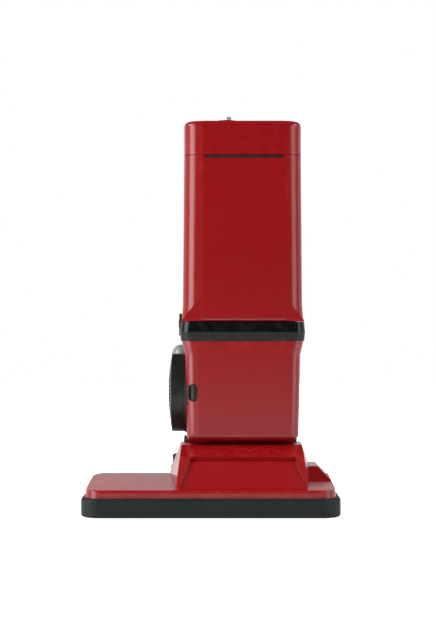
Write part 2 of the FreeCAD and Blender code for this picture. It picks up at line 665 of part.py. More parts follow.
def save_pedal():
    y0 = WING_REAR + 3.0
    points = [(y0 + 1, PEDAL_Z - 2, 0), (y0 + 4, PEDAL_Z + 5, 2.0), (y0 + 50, PEDAL_Z + 8, 2.0),
              (y0 + 52, PEDAL_Z + 2, 1.5), (y0 + 20, PEDAL_Z - 3, 3.0)]
    plate = side_slab(points, PEDAL_LEFT, PEDAL_RIGHT)
    hub = cyl_x(PEDAL_LEFT, PEDAL_RIGHT, PEDAL_Y, PEDAL_Z, 6.0)
    bore = cyl_x(PEDAL_LEFT - 5, PEDAL_RIGHT + 5, PEDAL_Y, PEDAL_Z, PEDAL_PIN_R + 0.06)
    save("release_pedal", join([plate, hub]).cut(bore))
    save("pedal_pin", cyl_x(PEDAL_LEFT - 6, PEDAL_RIGHT + 6, PEDAL_Y, PEDAL_Z, PEDAL_PIN_R))


# ---------------------------------------------------------------- neck: yoke, swivel, hose, riser
def save_yoke():
    bridge = box(-54.0, 168.0, PIVOT_Y - 26, PIVOT_Y + 28, LOWER_BOTTOM - 7, LOWER_BOTTOM - 0.1)
    left = join([cyl_x(-54.0, -47.0, PIVOT_Y, PIVOT_Z, 25.0),
                 box(-54.0, -47.0, PIVOT_Y - 20, PIVOT_Y + 20, PIVOT_Z, LOWER_BOTTOM - 6)])
    right = join([cyl_x(150.0, 168.0, PIVOT_Y, PIVOT_Z, 15.0),
                  box(150.0, 168.0, PIVOT_Y - 15, PIVOT_Y + 15, PIVOT_Z, LOWER_BOTTOM - 6)])
    bores = [cyl_x(-60.0, -40.0, PIVOT_Y, PIVOT_Z, HOSE_R),
             cyl_x(140.0, 175.0, PIVOT_Y, PIVOT_Z, PIVOT_R + 0.06)]
    save("recline_yoke", join([bridge, left, right]).cut(bores))
    save("pivot_pin", cyl_x(149.0, ARM_INNER_RIGHT + 12.0, PIVOT_Y, PIVOT_Z, PIVOT_R))


def elbow_solid(low, side, r):
    """Two short bars that meet in a ball."""
    ball = Part.makeSphere(r, V(low.x, low.y, side.z))
    upright = cyl_z(low.z, side.z, low.x, low.y, r - 0.5)
    level = cyl_x(low.x, side.x, low.y, side.z, r - 0.5)
    return join([ball, upright, level])


def save_swivel_elbow():
    x_bend = LOWER_ELBOW_X - ELBOW_BEND
    spigot = cyl_x(ARM_INNER_LEFT - 5.5, x_bend, PIVOT_Y, PIVOT_Z, HOSE_R)
    spigot_bore = cyl_x(-74.0, x_bend, PIVOT_Y, PIVOT_Z, HOSE_R - THIN)
    centre = V(x_bend, PIVOT_Y + ELBOW_BEND, PIVOT_Z)
    start = V(x_bend, PIVOT_Y, PIVOT_Z)
    end = V(LOWER_ELBOW_X, PIVOT_Y + ELBOW_BEND, PIVOT_Z)
    bend = pipe_arc(centre, start, end, HOSE_R)
    bend_bore = pipe_arc(centre, start, end, HOSE_R - THIN)
    save("swivel_elbow", join([spigot, bend]).cut([spigot_bore, bend_bore]))


def hose_path():
    """Back from the swivel, up in a wide bend, then leaning out to the left."""
    y0 = PIVOT_Y + ELBOW_BEND
    first = V(LOWER_ELBOW_X, y0, PIVOT_Z)
    second = V(LOWER_ELBOW_X, RISER_Y, PIVOT_Z + HOSE_BEND)
    centre = V(LOWER_ELBOW_X, y0, PIVOT_Z + HOSE_BEND)
    middle = centre + V(0, 1, -1).normalize() * HOSE_BEND
    bend = Part.Arc(first, middle, second).toShape()
    top = V(ELBOW_X, RISER_Y, ELBOW_Z - ELBOW_BEND)
    rise = (top.z - second.z) / 3.0
    curve = Part.BezierCurve()
    curve.setPoles([second, second + V(0, 0, rise), top - V(0, 0, rise), top])
    return Part.Wire([bend, curve.toShape()])


def save_hose():
    path = hose_path()
    start = V(LOWER_ELBOW_X, PIVOT_Y + ELBOW_BEND, PIVOT_Z)
    outer = path.makePipeShell([Part.Wire([Part.Circle(start, Y_AXIS, HOSE_R).toShape()])], True, False)
    inner = path.makePipeShell([Part.Wire([Part.Circle(start, Y_AXIS, HOSE_R - THIN).toShape()])], True, False)
    save("lower_hose", outer.cut(inner))


def save_riser():
    top = V(ELBOW_X, RISER_Y, ELBOW_Z - ELBOW_BEND)
    side = V(ELBOW_X + ELBOW_BEND, RISER_Y, ELBOW_Z)
    save("duct_elbow", elbow_solid(top, side, HOSE_R + 1.0).cut(elbow_solid(top, side, HOSE_R - 2.0)))
    turn_x = RISER_X - ELBOW_BEND
    turn = V(turn_x, RISER_Y, ELBOW_Z + ELBOW_BEND)
    foot_start = V(turn_x, RISER_Y, ELBOW_Z)
    foot_end = V(RISER_X, RISER_Y, ELBOW_Z + ELBOW_BEND)
    head_low = V(RISER_X, RISER_Y, RISER_TOP_Z - ELBOW_BEND)
    head_end = V(RISER_X, RISER_Y - ELBOW_BEND, RISER_TOP_Z)
    head_centre = V(RISER_X, RISER_Y - ELBOW_BEND, RISER_TOP_Z - ELBOW_BEND)

    def solid(r, extra):
        return join([
            cyl_x(side.x - extra, turn_x, RISER_Y, ELBOW_Z, r),
            pipe_arc(turn, foot_start, foot_end, r),
            cyl_z(foot_end.z, head_low.z, RISER_X, RISER_Y, r),
            pipe_arc(head_centre, head_low, head_end, r),
            cyl_y(100.0 - extra, head_end.y, RISER_X, RISER_TOP_Z, r),
        ])

    save("riser_duct", solid(DUCT_R, 0.0).cut(solid(DUCT_R - THIN, 1.0)))
    clips = []
    for z in (400.0, 530.0):
        clip = box(RISER_X - 22, RISER_X + 22, BODY_REAR + 0.1, RISER_Y + 8, z, z + 14)
        clips.append(clip.cut(cyl_z(z - 1, z + 15, RISER_X, RISER_Y, DUCT_R)))
    save("riser_clips", Part.makeCompound(clips))


# ---------------------------------------------------------------- body shells
WINDOW_X = -35.0
WINDOW_Z = 220.0
WINDOW_HALF_W = 8.5
WINDOW_HALF_H = 17.0
SHELL_GAP = 0.1


def oval(half_w, half_h, y0, y1):
    r = half_w - 0.01
    points = [(WINDOW_X - half_w, WINDOW_Z - half_h, r), (WINDOW_X + half_w, WINDOW_Z - half_h, r),
              (WINDOW_X + half_w, WINDOW_Z + half_h, r), (WINDOW_X - half_w, WINDOW_Z + half_h, r)]
    return front_slab(points, y0, y1)


def save_lower_shells():
    outer = lower_body(0, LOWER_BOTTOM, BAND_BOTTOM)
    inner = lower_body(WALL, LOWER_BOTTOM + WALL, BAND_BOTTOM + 1)
    shell = outer.cut(inner)
    outlet = cyl_x(-70.0, -30.0, EXHAUST_Y, FAN_Z, 40.0)
    window = oval(WINDOW_HALF_W, WINDOW_HALF_H, BODY_FRONT - 10, BODY_FRONT + 24)
    shell = shell.cut([outlet, window])
    front_room = box(-BIG, BIG, -BIG, SPLIT_Y - SHELL_GAP, 0, BIG)
    rear_room = box(-BIG, BIG, SPLIT_Y + SHELL_GAP, BIG, 0, BIG)
    save("lower_front_shell", shell.common(front_room))
    save("lower_rear_shell", shell.common(rear_room))
    tube = oval(WINDOW_HALF_W - 0.1, WINDOW_HALF_H - 0.1, BODY_FRONT - 10, BODY_FRONT + 22)
    tube = tube.cut(oval(WINDOW_HALF_W - 1.6, WINDOW_HALF_H - 1.6, BODY_FRONT - 11, BODY_FRONT + 23))
    proud = lower_body(-0.8, LOWER_BOTTOM, BAND_BOTTOM)
    save("window_bezel", tube.common(proud))
    lens = oval(WINDOW_HALF_W - 1.7, WINDOW_HALF_H - 1.7, BODY_FRONT - 11, BODY_FRONT + 20)
    deep = lower_body(2.5, LOWER_BOTTOM, BAND_BOTTOM)
    save("window_lens", lens.common(deep))
    board = box(WINDOW_X - 6, WINDOW_X + 50, BODY_FRONT + 23, BODY_FRONT + 24.6, 190.0, 250.0)
    posts = []
    for x in (WINDOW_X + 14, WINDOW_X + 44):
        for z in (196.0, 244.0):
            posts.append(cyl_y(BODY_FRONT + 3.1, BODY_FRONT + 23.1, x, z, 2.5))
    chips = [box(WINDOW_X + 10, WINDOW_X + 24, BODY_FRONT + 24.5, BODY_FRONT + 28, 212.0, 226.0),
             box(WINDOW_X + 30, WINDOW_X + 44, BODY_FRONT + 24.5, BODY_FRONT + 30, 214.0, 222.0)]
    save("circuit_board", join([board] + posts + chips))


DECK_Z = 335.2         # underside of the grille deck in the band


def save_band():
    def ring(half, out, z):
        return plan(section(half, 0.0, out, LOWER_FACET), z)

    lower = loft([ring(BAND_HALF - 1.4, 0.8, BAND_BOTTOM + 0.1), ring(BAND_HALF, BAND_STEP, BAND_RIDGE)])
    upper = loft([ring(BAND_HALF, BAND_STEP, BAND_RIDGE), ring(BAND_HALF - 1.8, 0.8, BAND_TOP)])
    room = prism(section(LOWER_HALF_TOP - 6, 0.0, -6.0, LOWER_FACET), 0, BIG)
    ring_shape = join([lower, upper]).cut(room)
    deck = prism(section(LOWER_HALF_TOP - 5, 0.0, -5.0, LOWER_FACET), DECK_Z, DECK_Z + 3)
    holes = []
    for i in range(9):
        x = 4.0 + 13.0 * i
        holes.append(box(x, x + 9.0, -8.0, 88.0, DECK_Z - 8, DECK_Z + 12))
    lugs = []
    for x in (0.0, 120.0):
        lug = join([box(x - 5, x + 5, HINGE_Y + 7, HINGE_Y + 12, DECK_Z + 2, HINGE_Z + 2.4),
                    box(x - 5, x + 5, HINGE_Y, HINGE_Y + 8, HINGE_Z - 2.4, HINGE_Z + 2.4),
                    cyl_x(x - 5, x + 5, HINGE_Y, HINGE_Z, 2.4)])
        lugs.append(lug.cut(cyl_x(x - 6, x + 6, HINGE_Y, HINGE_Z, 1.5)))
    band = join([ring_shape, deck] + lugs).cut(holes)
    save("mid_band", band)
    foam = box(-2.0, 122.0, -12.0, 92.0, DECK_Z + 3.1, DECK_Z + 15)
    save("pre_motor_filter", foam)


BAG_OPENING = (0.0, 120.0, -10.0, 90.0)


def save_upper_housing():
    outer = upper_body(0, DOOR_BOTTOM, DOOR_TOP)
    inner = upper_body(WALL, DOOR_BOTTOM + WALL, DOOR_TOP - WALL)
    rear_room = box(-BIG, BIG, SPLIT_Y + 0.3, BIG, 0, BIG)
    x0, x1, y0, y1 = BAG_OPENING
    cuts = [
        inner,
        box(x0, x1, y0, y1, DOOR_BOTTOM - 1, DOOR_BOTTOM + 5),
        cyl_y(100.0, 140.0, RISER_X, RISER_TOP_Z, DUCT_R + 0.1),
        cyl_z(660.0, 690.0, SOCKET_X, SOCKET_Y, 22.1),
        box(SWITCH_X - 10.5, SWITCH_X + 10.5, 120.0, 130.0, SWITCH_Z - 15.6, SWITCH_Z + 15.6),
        cyl_y(120.0, 130.0, GLAND_X, GLAND_Z, 7.1),
        cyl_y(120.0, 130.0, HOOK_X, HOOK_Z, 5.1),
    ]
    rib = box(BODY_X - 108, BODY_X + 108, 100.0, 103.0, BAND_TOP - 6, DOOR_BOTTOM + 1)
    save("upper_housing", join([outer.common(rear_room).cut(cuts), rib]))


SWITCH_X = 115.0
SWITCH_Z = 620.0
GLAND_X = 115.0
GLAND_Z = 560.0
HOOK_X = -28.0
HOOK_Z = 600.0
SLOT_X = 62.5          # the latch slot, a notch in the door's top edge
SLOT_HALF = 73.5
SLOT_LOW = 665.5


LEDGE_Z = 636.8        # ledge inside the door under the latch springs
SEAL_LOW = 364.5
SEAL_HIGH = 660.0


def save_door():
    outer = join([upper_body(0, DOOR_BOTTOM, DOOR_TOP + 1.5)] + gussets())
    inner = upper_body(WALL, DOOR_BOTTOM - 1, DOOR_TOP + 3)
    swing = cyl_x(-BIG / 2, BIG, HINGE_Y, HINGE_Z, DOOR_SWING_R)
    front_room = box(-BIG, BIG, -BIG, SPLIT_Y - 0.3, 0, BIG)
    low_edge = box(-BIG, BIG, -BIG, HINGE_Y, 0, HINGE_Z).cut(cyl_x(-BIG, BIG, HINGE_Y, HINGE_Z, 6.0))
    cuts = [
        inner,
        low_edge,
        box(SLOT_X - SLOT_HALF, SLOT_X + SLOT_HALF, BODY_FRONT - 5, BODY_FRONT + 3.5, SLOT_LOW, DOOR_TOP + 5),
    ]
    for x in (0.0, 120.0):
        cuts.append(box(x - 5.4, x + 5.4, HINGE_Y - 2.9, SPLIT_Y, DOOR_BOTTOM - 1, HINGE_Z + 3))
    shell = outer.common(front_room).common(swing).cut(cuts)
    knuckles = []
    for x in (0.0, 120.0):
        side = 5.4 if x == 0.0 else -5.4 - 8.0
        block = box(x + side, x + side + 8.0, HINGE_Y - 4.0, HINGE_Y + 3.5, DOOR_BOTTOM + 2, HINGE_Z + 3.5)
        knuckles.append(block)
    ledge = box(BODY_X - 60, BODY_X + 60, BODY_FRONT + 2.5, BODY_FRONT + 9, LEDGE_Z - 3, LEDGE_Z)
    bores = cyl_x(-8.0, 128.0, HINGE_Y, HINGE_Z, 1.56)
    save("bag_door", join([shell] + knuckles + [ledge]).cut(bores))
    pins = [cyl_x(-5.0, 13.0, HINGE_Y, HINGE_Z, 1.5), cyl_x(107.0, 125.0, HINGE_Y, HINGE_Z, 1.5)]
    save("hinge_pins", Part.makeCompound(pins))
    seal_points = [(BODY_X - 106, SEAL_LOW, 0), (BODY_X + 106, SEAL_LOW, 0), (BODY_X + 106, SEAL_HIGH, 8),
                   (BODY_X - 106, SEAL_HIGH, 8)]
    hole_points = [(BODY_X - 103, 0.0, 0), (BODY_X + 103, 0.0, 0), (BODY_X + 103, SEAL_HIGH - 3, 6),
                   (BODY_X - 103, SEAL_HIGH - 3, 6)]
    seal = front_slab(seal_points, SPLIT_Y - 6, SPLIT_Y - 1).cut(front_slab(hole_points, 0, BIG / 2))
    save("door_seal", seal)


def save_latch():
    plate_low = LEDGE_Z + 15.0
    plate = box(SLOT_X - 72, SLOT_X + 72, BODY_FRONT + 3.6, BODY_FRONT + 6.6, plate_low, DOOR_TOP - 0.8)
    lip = box(SLOT_X - 72, SLOT_X + 72, BODY_FRONT + 1.2, BODY_FRONT + 4.0, DOOR_TOP - 2.2, DOOR_TOP - 0.4)
    nose = box(SLOT_X - 20, SLOT_X + 20, BODY_FRONT + 3.6, BODY_FRONT + 6.6, DOOR_TOP - 2, DOOR_TOP + 0.2)
    save("latch_bar", join([plate, lip, nose]))
    springs = []
    for x in (BODY_X - 50, BODY_X + 50):
        helix = Part.makeHelix(2.4, 13.6, 1.6)
        profile = Part.Wire([Part.Circle(V(1.6, 0, 0), Y_AXIS, 0.35).toShape()])
        coil = Part.Wire(helix.Edges).makePipeShell([profile], True, True)
        coil.translate(V(x, BODY_FRONT + 5.4, LEDGE_Z + 0.7))
        springs.append(coil)
    save("latch_springs", Part.makeCompound(springs))


def save_cap():
    outer = cap_form(0, 655.0)
    inner = cap_form(WALL, CAP_BOTTOM + WALL)
    swing = cyl_x(-BIG / 2, BIG, HINGE_Y, HINGE_Z, DOOR_SWING_R + 1.0)
    front_low = box(-BIG, BIG, -BIG, SPLIT_Y, 0, 690.0).common(swing)
    rear_low = box(-BIG, BIG, SPLIT_Y - 0.2, BIG, 0, CAP_BOTTOM)
    wedge_room = upper_body(WALL, DOOR_BOTTOM, CAP_BOTTOM)
    cuts = [inner, front_low, rear_low, wedge_room,
            cyl_z(600.0, 800.0, SOCKET_X, SOCKET_Y, 22.1)]
    save("top_cap", outer.cut(cuts))


def cap_form(inset, z_low):
    """The cap: straight sides, then a rolled edge into a flat top."""
    r = CAP_ROLL - inset
    half = UPPER_HALF - UPPER_TAPER
    edge = CAP_TOP - inset - r
    return stack([plan(section(half, inset), z_low)] + rolled_plans(half, inset, UPPER_FACET, edge, r, 1))


# ---------------------------------------------------------------- wand socket
def save_socket():
    lower = cyl_z(SOCKET_BOTTOM, SOCKET_TOP - 6, SOCKET_X, SOCKET_Y, 22.0)
    flange = cyl_z(CAP_TOP + 0.1, SOCKET_TOP - 6, SOCKET_X, SOCKET_Y, 26.0)
    rim = Part.makeCone(26.0, 22.0, 6.0, V(SOCKET_X, SOCKET_Y, SOCKET_TOP - 6), Z_AXIS)
    boss = box(SOCKET_X - 5, SOCKET_X + 15, SOCKET_Y + 16, SOCKET_Y + 29, 740.0, 752.0)
    bore = cyl_z(SOCKET_BOTTOM + 4, SOCKET_TOP + 1, SOCKET_X, SOCKET_Y, SOCKET_BORE_R)
    stem_hole = cyl_y(SOCKET_Y + 10, SOCKET_Y + 40, SOCKET_X + 5, 746.5, 3.06)
    save("wand_socket", join([lower, flange, rim, boss]).cut([bore, stem_hole]))
    stem = cyl_y(SOCKET_Y + 17.4, SOCKET_Y + 31, SOCKET_X + 5, 746.5, 3.0)
    tab = box(SOCKET_X + 0.5, SOCKET_X + 9.5, SOCKET_Y + 29.6, SOCKET_Y + 33.5, 741.5, 768.5)
    save("lock_button", join([stem, tab]))


# ---------------------------------------------------------------- rear fittings
def save_rear_fittings():
    rocker = box(SWITCH_X - 9.9, SWITCH_X + 9.9, 121.0, 128.4, SWITCH_Z - 14, SWITCH_Z + 14)
    notch = cyl_x(SWITCH_X - 12, SWITCH_X + 12, 138.5, SWITCH_Z, 13.0)
    rocker = join([rocker.cut(notch), cyl_x(SWITCH_X - 9.9, SWITCH_X + 9.9, 121.0, SWITCH_Z, 3.0)])
    rocker.rotate(V(SWITCH_X, 121.0, SWITCH_Z), X_AXIS, 7.0)
    save("rocker_switch", rocker)
    gland = join([ring_y(119.0, 126.0, GLAND_X, GLAND_Z, 7.0, 4.2),
                  ring_y(126.1, 134.0, GLAND_X, GLAND_Z, 10.0, 4.2),
                  ring_y(125.9, 126.3, GLAND_X, GLAND_Z, 7.0, 4.2)])
    save("cord_gland", gland)
    post = cyl_y(121.0, 160.0, HOOK_X, HOOK_Z, 5.0)
    foot = cyl_y(126.4, 130.0, HOOK_X, HOOK_Z, 11.0)
    blade = box(HOOK_X - 9, HOOK_X + 9, 158.0, 169.0, HOOK_Z - 9, HOOK_Z + 42)
    keeper = cyl_y(118.5, 122.6, HOOK_X, HOOK_Z, 8.0)
    save("cord_hook_upper", join([post, foot, blade, keeper]))
    arm = box(-66.5, -36.0, BODY_REAR + BAND_STEP + 0.1, 160.0, 343.0, 357.0)
    tip = box(-66.5, -36.0, 158.0, 169.0, 326.0, 371.0)
    save("cord_hook_lower", join([arm, tip]))


# ---------------------------------------------------------------- bag and filters
def save_bag():
    mount = box(RISER_X - 38, RISER_X + 38, 98.0, 101.5, 574.0, 634.0)
    posts = []
    for x in (RISER_X - 34, RISER_X + 34):
        for z in (579.0, 629.0):
            posts.append(cyl_y(101.0, 122.9, x, z, 3.5))
    hole = cyl_y(90.0, 110.0, RISER_X, RISER_TOP_Z, DUCT_R + 0.1)
    save("bag_mount", join([mount] + posts).cut(hole))
    low = plan([(-32.0, -26.0, 18), (150.0, -26.0, 18), (150.0, 82.0, 18), (-32.0, 82.0, 18)], 370.0)
    belly = plan([(-42.0, -35.0, 24), (160.0, -35.0, 24), (160.0, 90.0, 24), (-42.0, 90.0, 24)], 420.0)
    chest = plan([(-42.0, -35.0, 24), (160.0, -35.0, 24), (160.0, 92.0, 24), (-42.0, 92.0, 24)], 600.0)
    top = plan([(-34.0, -10.0, 18), (152.0, -10.0, 18), (152.0, 86.0, 18), (-34.0, 86.0, 18)], 634.0)
    bag = join([loft([low, belly]), loft([belly, chest]), loft([chest, top])])
    collar = front_slab([(-8.0, 576.0, 4), (68.0, 576.0, 4), (68.0, 632.0, 4), (-8.0, 632.0, 4)], 80.0, 97.5)
    throat = cyl_y(60.0, 110.0, RISER_X, RISER_TOP_Z, DUCT_R - THIN)
    save("filter_bag", join([bag, collar]).cut(throat))


def save_fan():
    case = cyl_x(20.0, 132.0, FAN_Y, FAN_Z, FAN_R)
    room = cyl_x(23.0, 129.0, FAN_Y, FAN_Z, FAN_R - 3.0)
    inlet = cyl_x(125.0, 140.0, FAN_Y, FAN_Z, 24.0)
    shaft_seat = ring_x(23.0, 30.0, FAN_Y, FAN_Z, 10.0, 4.06)
    feet = []
    for x in (36.0, 106.0):
        feet.append(box(x, x + 10, FAN_Y - 25, FAN_Y + 25, LOWER_BOTTOM + WALL + 0.1, FAN_Z - 50))
    duct = cyl_x(-45.0, 21.0, EXHAUST_Y, FAN_Z, 38.0)
    duct_bore = cyl_x(-46.0, 24.0, EXHAUST_Y, FAN_Z, 35.5)
    housing = join([case, duct] + feet).cut([room, inlet, duct_bore])
    spokes = box(20.0, 23.0, FAN_Y - 40, FAN_Y + 40, FAN_Z - 4, FAN_Z + 4)
    save("fan_housing", join([housing, shaft_seat, spokes]).cut(cyl_x(10.0, 60.0, FAN_Y, FAN_Z, 4.06)))
    stack = cyl_x(40.0, 84.0, FAN_Y, FAN_Z, 26.0)
    shaft = cyl_x(21.0, 126.0, FAN_Y, FAN_Z, 4.0)
    save("fan_armature", join([stack, shaft]))
    disc = cyl_x(94.0, 96.5, FAN_Y, FAN_Z, 52.0)
    hub = cyl_x(92.0, 118.0, FAN_Y, FAN_Z, 10.0)
    blades = []
    for i in range(9):
        blade = box(96.0, 114.0, FAN_Y - 1, FAN_Y + 1, FAN_Z + 9, FAN_Z + 51)
        blade.rotate(V(0, FAN_Y, FAN_Z), X_AXIS, 40.0 * i)
        blades.append(blade)
    bore = cyl_x(80.0, 130.0, FAN_Y, FAN_Z, 4.0)
    save("fan_impeller", join([disc, hub] + blades).cut(bore))


SLOT_COUNT = 17        # vent slots across the cap
SLOT_PITCH = 7.2


def dome(r, x_rim, x_side, x_top):
    """A round lid: straight rim, then a shallow dome, about the exhaust's axis."""
    a = V(x_rim, EXHAUST_Y, FAN_Z)
    b = V(x_rim, EXHAUST_Y, FAN_Z + r)
    c = V(x_side, EXHAUST_Y, FAN_Z + r)
    top = V(x_top, EXHAUST_Y, FAN_Z)
    middle = V(x_top + (x_side - x_top) * 0.30, EXHAUST_Y, FAN_Z + r * 0.56)
    edges = [Part.LineSegment(a, b).toShape(), Part.LineSegment(b, c).toShape(),
             Part.Arc(c, middle, top).toShape(), Part.LineSegment(top, a).toShape()]
    return Part.Face(Part.Wire(edges)).revolve(a, X_AXIS, 360.0)


def save_exhaust():
    flange = ring_x(-51.0, -44.0, EXHAUST_Y, FAN_Z, EXHAUST_R + 2, 66.0)
    save("exhaust_ring", flange.cut(lower_body(0, LOWER_BOTTOM, BAND_BOTTOM)))
    outer = dome(EXHAUST_R, -51.6, -76.5, -83.5)
    inner = dome(EXHAUST_R - 4.0, -50.0, -73.0, -80.0)
    spine = box(-90.0, -60.0, EXHAUST_Y - 2, EXHAUST_Y + 2, FAN_Z - 70, FAN_Z + 70)
    cuts = [inner]
    for i in range(SLOT_COUNT):
        z = FAN_Z + SLOT_PITCH * (i - SLOT_COUNT // 2)
        half = math.sqrt(66.0 ** 2 - (z - FAN_Z) ** 2) - 2.0
        slot = box(-90.0, -60.0, EXHAUST_Y - half, EXHAUST_Y + half, z - 1.7, z + 1.7)
        cuts.append(slot.cut(spine))
    save("exhaust_cap", outer.cut(cuts))
    save("exhaust_filter", cyl_x(-68.0, -55.0, EXHAUST_Y, FAN_Z, 63.0))


def build():
    os.makedirs("parts", exist_ok=True)
    save_hood()
    save_chassis()
    save_sole_plate()
    save_bumper()
    save_swivel_housing()
    save_brush()
    save_brush_drive()
    save_wheels()
    save_pedal()
    save_yoke()
    save_swivel_elbow()
    save_hose()
    save_riser()
    save_lower_shells()
    save_band()
    save_upper_housing()
    save_door()
    save_latch()
    save_cap()
    save_socket()
    save_rear_fittings()
    save_bag()
    save_fan()
    save_exhaust()


build()
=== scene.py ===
"""The looks of the upright vacuum cleaner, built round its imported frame. Lengths are in metres."""
import json
import math
import random

import bmesh
import bpy
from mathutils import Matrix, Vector


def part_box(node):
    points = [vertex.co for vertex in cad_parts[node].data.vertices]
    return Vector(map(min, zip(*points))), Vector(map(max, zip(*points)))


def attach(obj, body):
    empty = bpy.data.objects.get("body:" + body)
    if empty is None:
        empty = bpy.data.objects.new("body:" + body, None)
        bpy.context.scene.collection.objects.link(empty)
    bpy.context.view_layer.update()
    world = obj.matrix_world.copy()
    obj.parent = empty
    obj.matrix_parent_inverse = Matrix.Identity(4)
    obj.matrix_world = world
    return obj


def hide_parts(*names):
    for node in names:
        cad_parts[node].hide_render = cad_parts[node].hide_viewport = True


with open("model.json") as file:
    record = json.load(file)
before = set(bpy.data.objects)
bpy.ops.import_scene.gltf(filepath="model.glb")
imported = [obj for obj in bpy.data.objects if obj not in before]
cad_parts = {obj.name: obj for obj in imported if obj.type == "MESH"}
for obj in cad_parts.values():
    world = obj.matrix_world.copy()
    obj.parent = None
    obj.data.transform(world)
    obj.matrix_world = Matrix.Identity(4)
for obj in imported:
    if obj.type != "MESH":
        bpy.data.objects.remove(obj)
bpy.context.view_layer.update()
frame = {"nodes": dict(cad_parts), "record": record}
NODES = frame["nodes"]
MM = 0.001


# ---------------------------------------------------------------- material building
MIX_FIRST = 6             # a Mix node's colour sockets, which share their names with its others
MIX_SECOND = 7
MIX_RESULT = 2
HIGHLIGHT_START = 0.52          # how sharp an edge is where its painted highlight starts to show, and where it is full
HIGHLIGHT_FULL = 0.60


class Nodes:
    """A short way to write one node material."""

    def __init__(self, name, **sockets):
        self.material = bpy.data.materials.new(name)
        self.material.use_nodes = True
        self.tree = self.material.node_tree
        self.shader = self.tree.nodes["Principled BSDF"]
        for socket, value in sockets.items():
            self.shader.inputs[socket.replace("_", " ")].default_value = value
        self.place = self.tree.nodes.new("ShaderNodeTexCoord").outputs["Object"]

    def link(self, out, into):
        self.tree.links.new(out, into)

    def noise(self, scale, detail=3.0, rough=0.5, stretch=None):
        node = self.tree.nodes.new("ShaderNodeTexNoise")
        node.inputs["Scale"].default_value = scale
        node.inputs["Detail"].default_value = detail
        node.inputs["Roughness"].default_value = rough
        self.link(self.stretched(stretch), node.inputs["Vector"])
        return node.outputs["Fac"]

    def voronoi(self, scale, feature="F1"):
        node = self.tree.nodes.new("ShaderNodeTexVoronoi")
        node.feature = feature
        node.inputs["Scale"].default_value = scale
        self.link(self.place, node.inputs["Vector"])
        return node.outputs["Distance"]

    def wave(self, scale, axis):
        node = self.tree.nodes.new("ShaderNodeTexWave")
        node.bands_direction = axis
        node.inputs["Scale"].default_value = scale
        self.link(self.place, node.inputs["Vector"])
        return node.outputs["Fac"]

    def stretched(self, stretch):
        """The texture's coordinates, scaled along x, y and z where a stretch is given."""
        if stretch is None:
            return self.place
        node = self.tree.nodes.new("ShaderNodeMapping")
        node.inputs["Scale"].default_value = stretch
        self.link(self.place, node.inputs["Vector"])
        return node.outputs["Vector"]

    def spread(self, fac, low, high, start=0.3, end=0.7):
        """Maps a 0..1 pattern to a range of numbers."""
        node = self.tree.nodes.new("ShaderNodeMapRange")
        node.inputs["From Min"].default_value = start
        node.inputs["From Max"].default_value = end
        node.inputs["To Min"].default_value = low
        node.inputs["To Max"].default_value = high
        self.link(fac, node.inputs["Value"])
        return node.outputs["Result"]

    def colours(self, fac, *stops):
        """A colour ramp of (position, colour) stops over a pattern."""
        node = self.tree.nodes.new("ShaderNodeValToRGB")
        ramp = node.color_ramp
        while len(ramp.elements) < len(stops):
            ramp.elements.new(0.5)
        for element, (position, colour) in zip(ramp.elements, stops):
            element.position = position
            element.color = (*colour, 1.0)
        self.link(fac, node.inputs["Fac"])
        return node.outputs["Color"]

    def blend(self, fac, first, second):
        """The first colour where a pattern is 0 and the second where it is 1."""
        node = self.tree.nodes.new("ShaderNodeMix")
        node.data_type = "RGBA"
        self.link(fac, node.inputs["Factor"])
        self.link(first, node.inputs[MIX_FIRST])
        self.link(second, node.inputs[MIX_SECOND])
        return node.outputs[MIX_RESULT]

    def edges(self):
        """Bright on sharp outer edges: the mask of a painted highlight."""
        geometry = self.tree.nodes.new("ShaderNodeNewGeometry")
        return self.spread(geometry.outputs["Pointiness"], 0.0, 1.0, HIGHLIGHT_START, HIGHLIGHT_FULL)

    def bump(self, height, strength, distance, normal=None):
        node = self.tree.nodes.new("ShaderNodeBump")
        node.inputs["Strength"].default_value = strength
        node.inputs["Distance"].default_value = distance
        self.link(height, node.inputs["Height"])
        if normal is not None:
            self.link(normal, node.inputs["Normal"])
        return node.outputs["Normal"]

    def colour(self, out):
        self.link(out, self.shader.inputs["Base Color"])

    def rough(self, out):
        self.link(out, self.shader.inputs["Roughness"])

    def normal(self, out):
        self.link(out, self.shader.inputs["Normal"])


def moulded(name, dark, light, rough, grain, depth, specular=0.5):
    """Moulded plastic or rubber: slow colour drift, patchy gloss, skin texture and a painted
    highlight on sharp edges.
    """
    m = Nodes(name, Specular_IOR_Level=specular)
    drift = m.noise(9.0, 4.0, 0.6)
    body = m.colours(drift, (0.3, dark), (0.7, light))
    # A paler copy of the colour on sharp edges, broken up by a noise: a painted highlight.
    pale = tuple(min(1.0, c * 1.5 + 0.012) for c in light)
    edge_highlight = m.colours(drift, (0.3, pale), (0.7, pale))
    highlight_breakup = m.noise(60.0, 5.0, 0.65)
    highlight_mask = m.tree.nodes.new("ShaderNodeMath")
    highlight_mask.operation = "MULTIPLY"
    m.link(m.edges(), highlight_mask.inputs[0])
    m.link(m.spread(highlight_breakup, 0.0, 0.6, 0.45, 0.7), highlight_mask.inputs[1])
    m.colour(m.blend(highlight_mask.outputs["Value"], body, edge_highlight))
    m.rough(m.spread(m.noise(34.0, 6.0, 0.7), *rough))
    skin = m.bump(m.noise(grain, 2.0, 0.5), 0.35, depth)
    m.normal(m.bump(m.noise(14.0, 2.0, 0.5), 0.10, 0.0002, skin))
    return m.material


def red_shell():
    return moulded("red_shell", dark=(0.192, 0.0022, 0.0033), light=(0.202, 0.0026, 0.0040),
                   rough=(0.20, 0.25), grain=900.0, depth=0.00003, specular=0.46)


def black_plastic():
    return moulded("black_plastic", dark=(0.012, 0.013, 0.012), light=(0.020, 0.021, 0.020),
                   rough=(0.34, 0.50), grain=1500.0, depth=0.00012, specular=0.35)


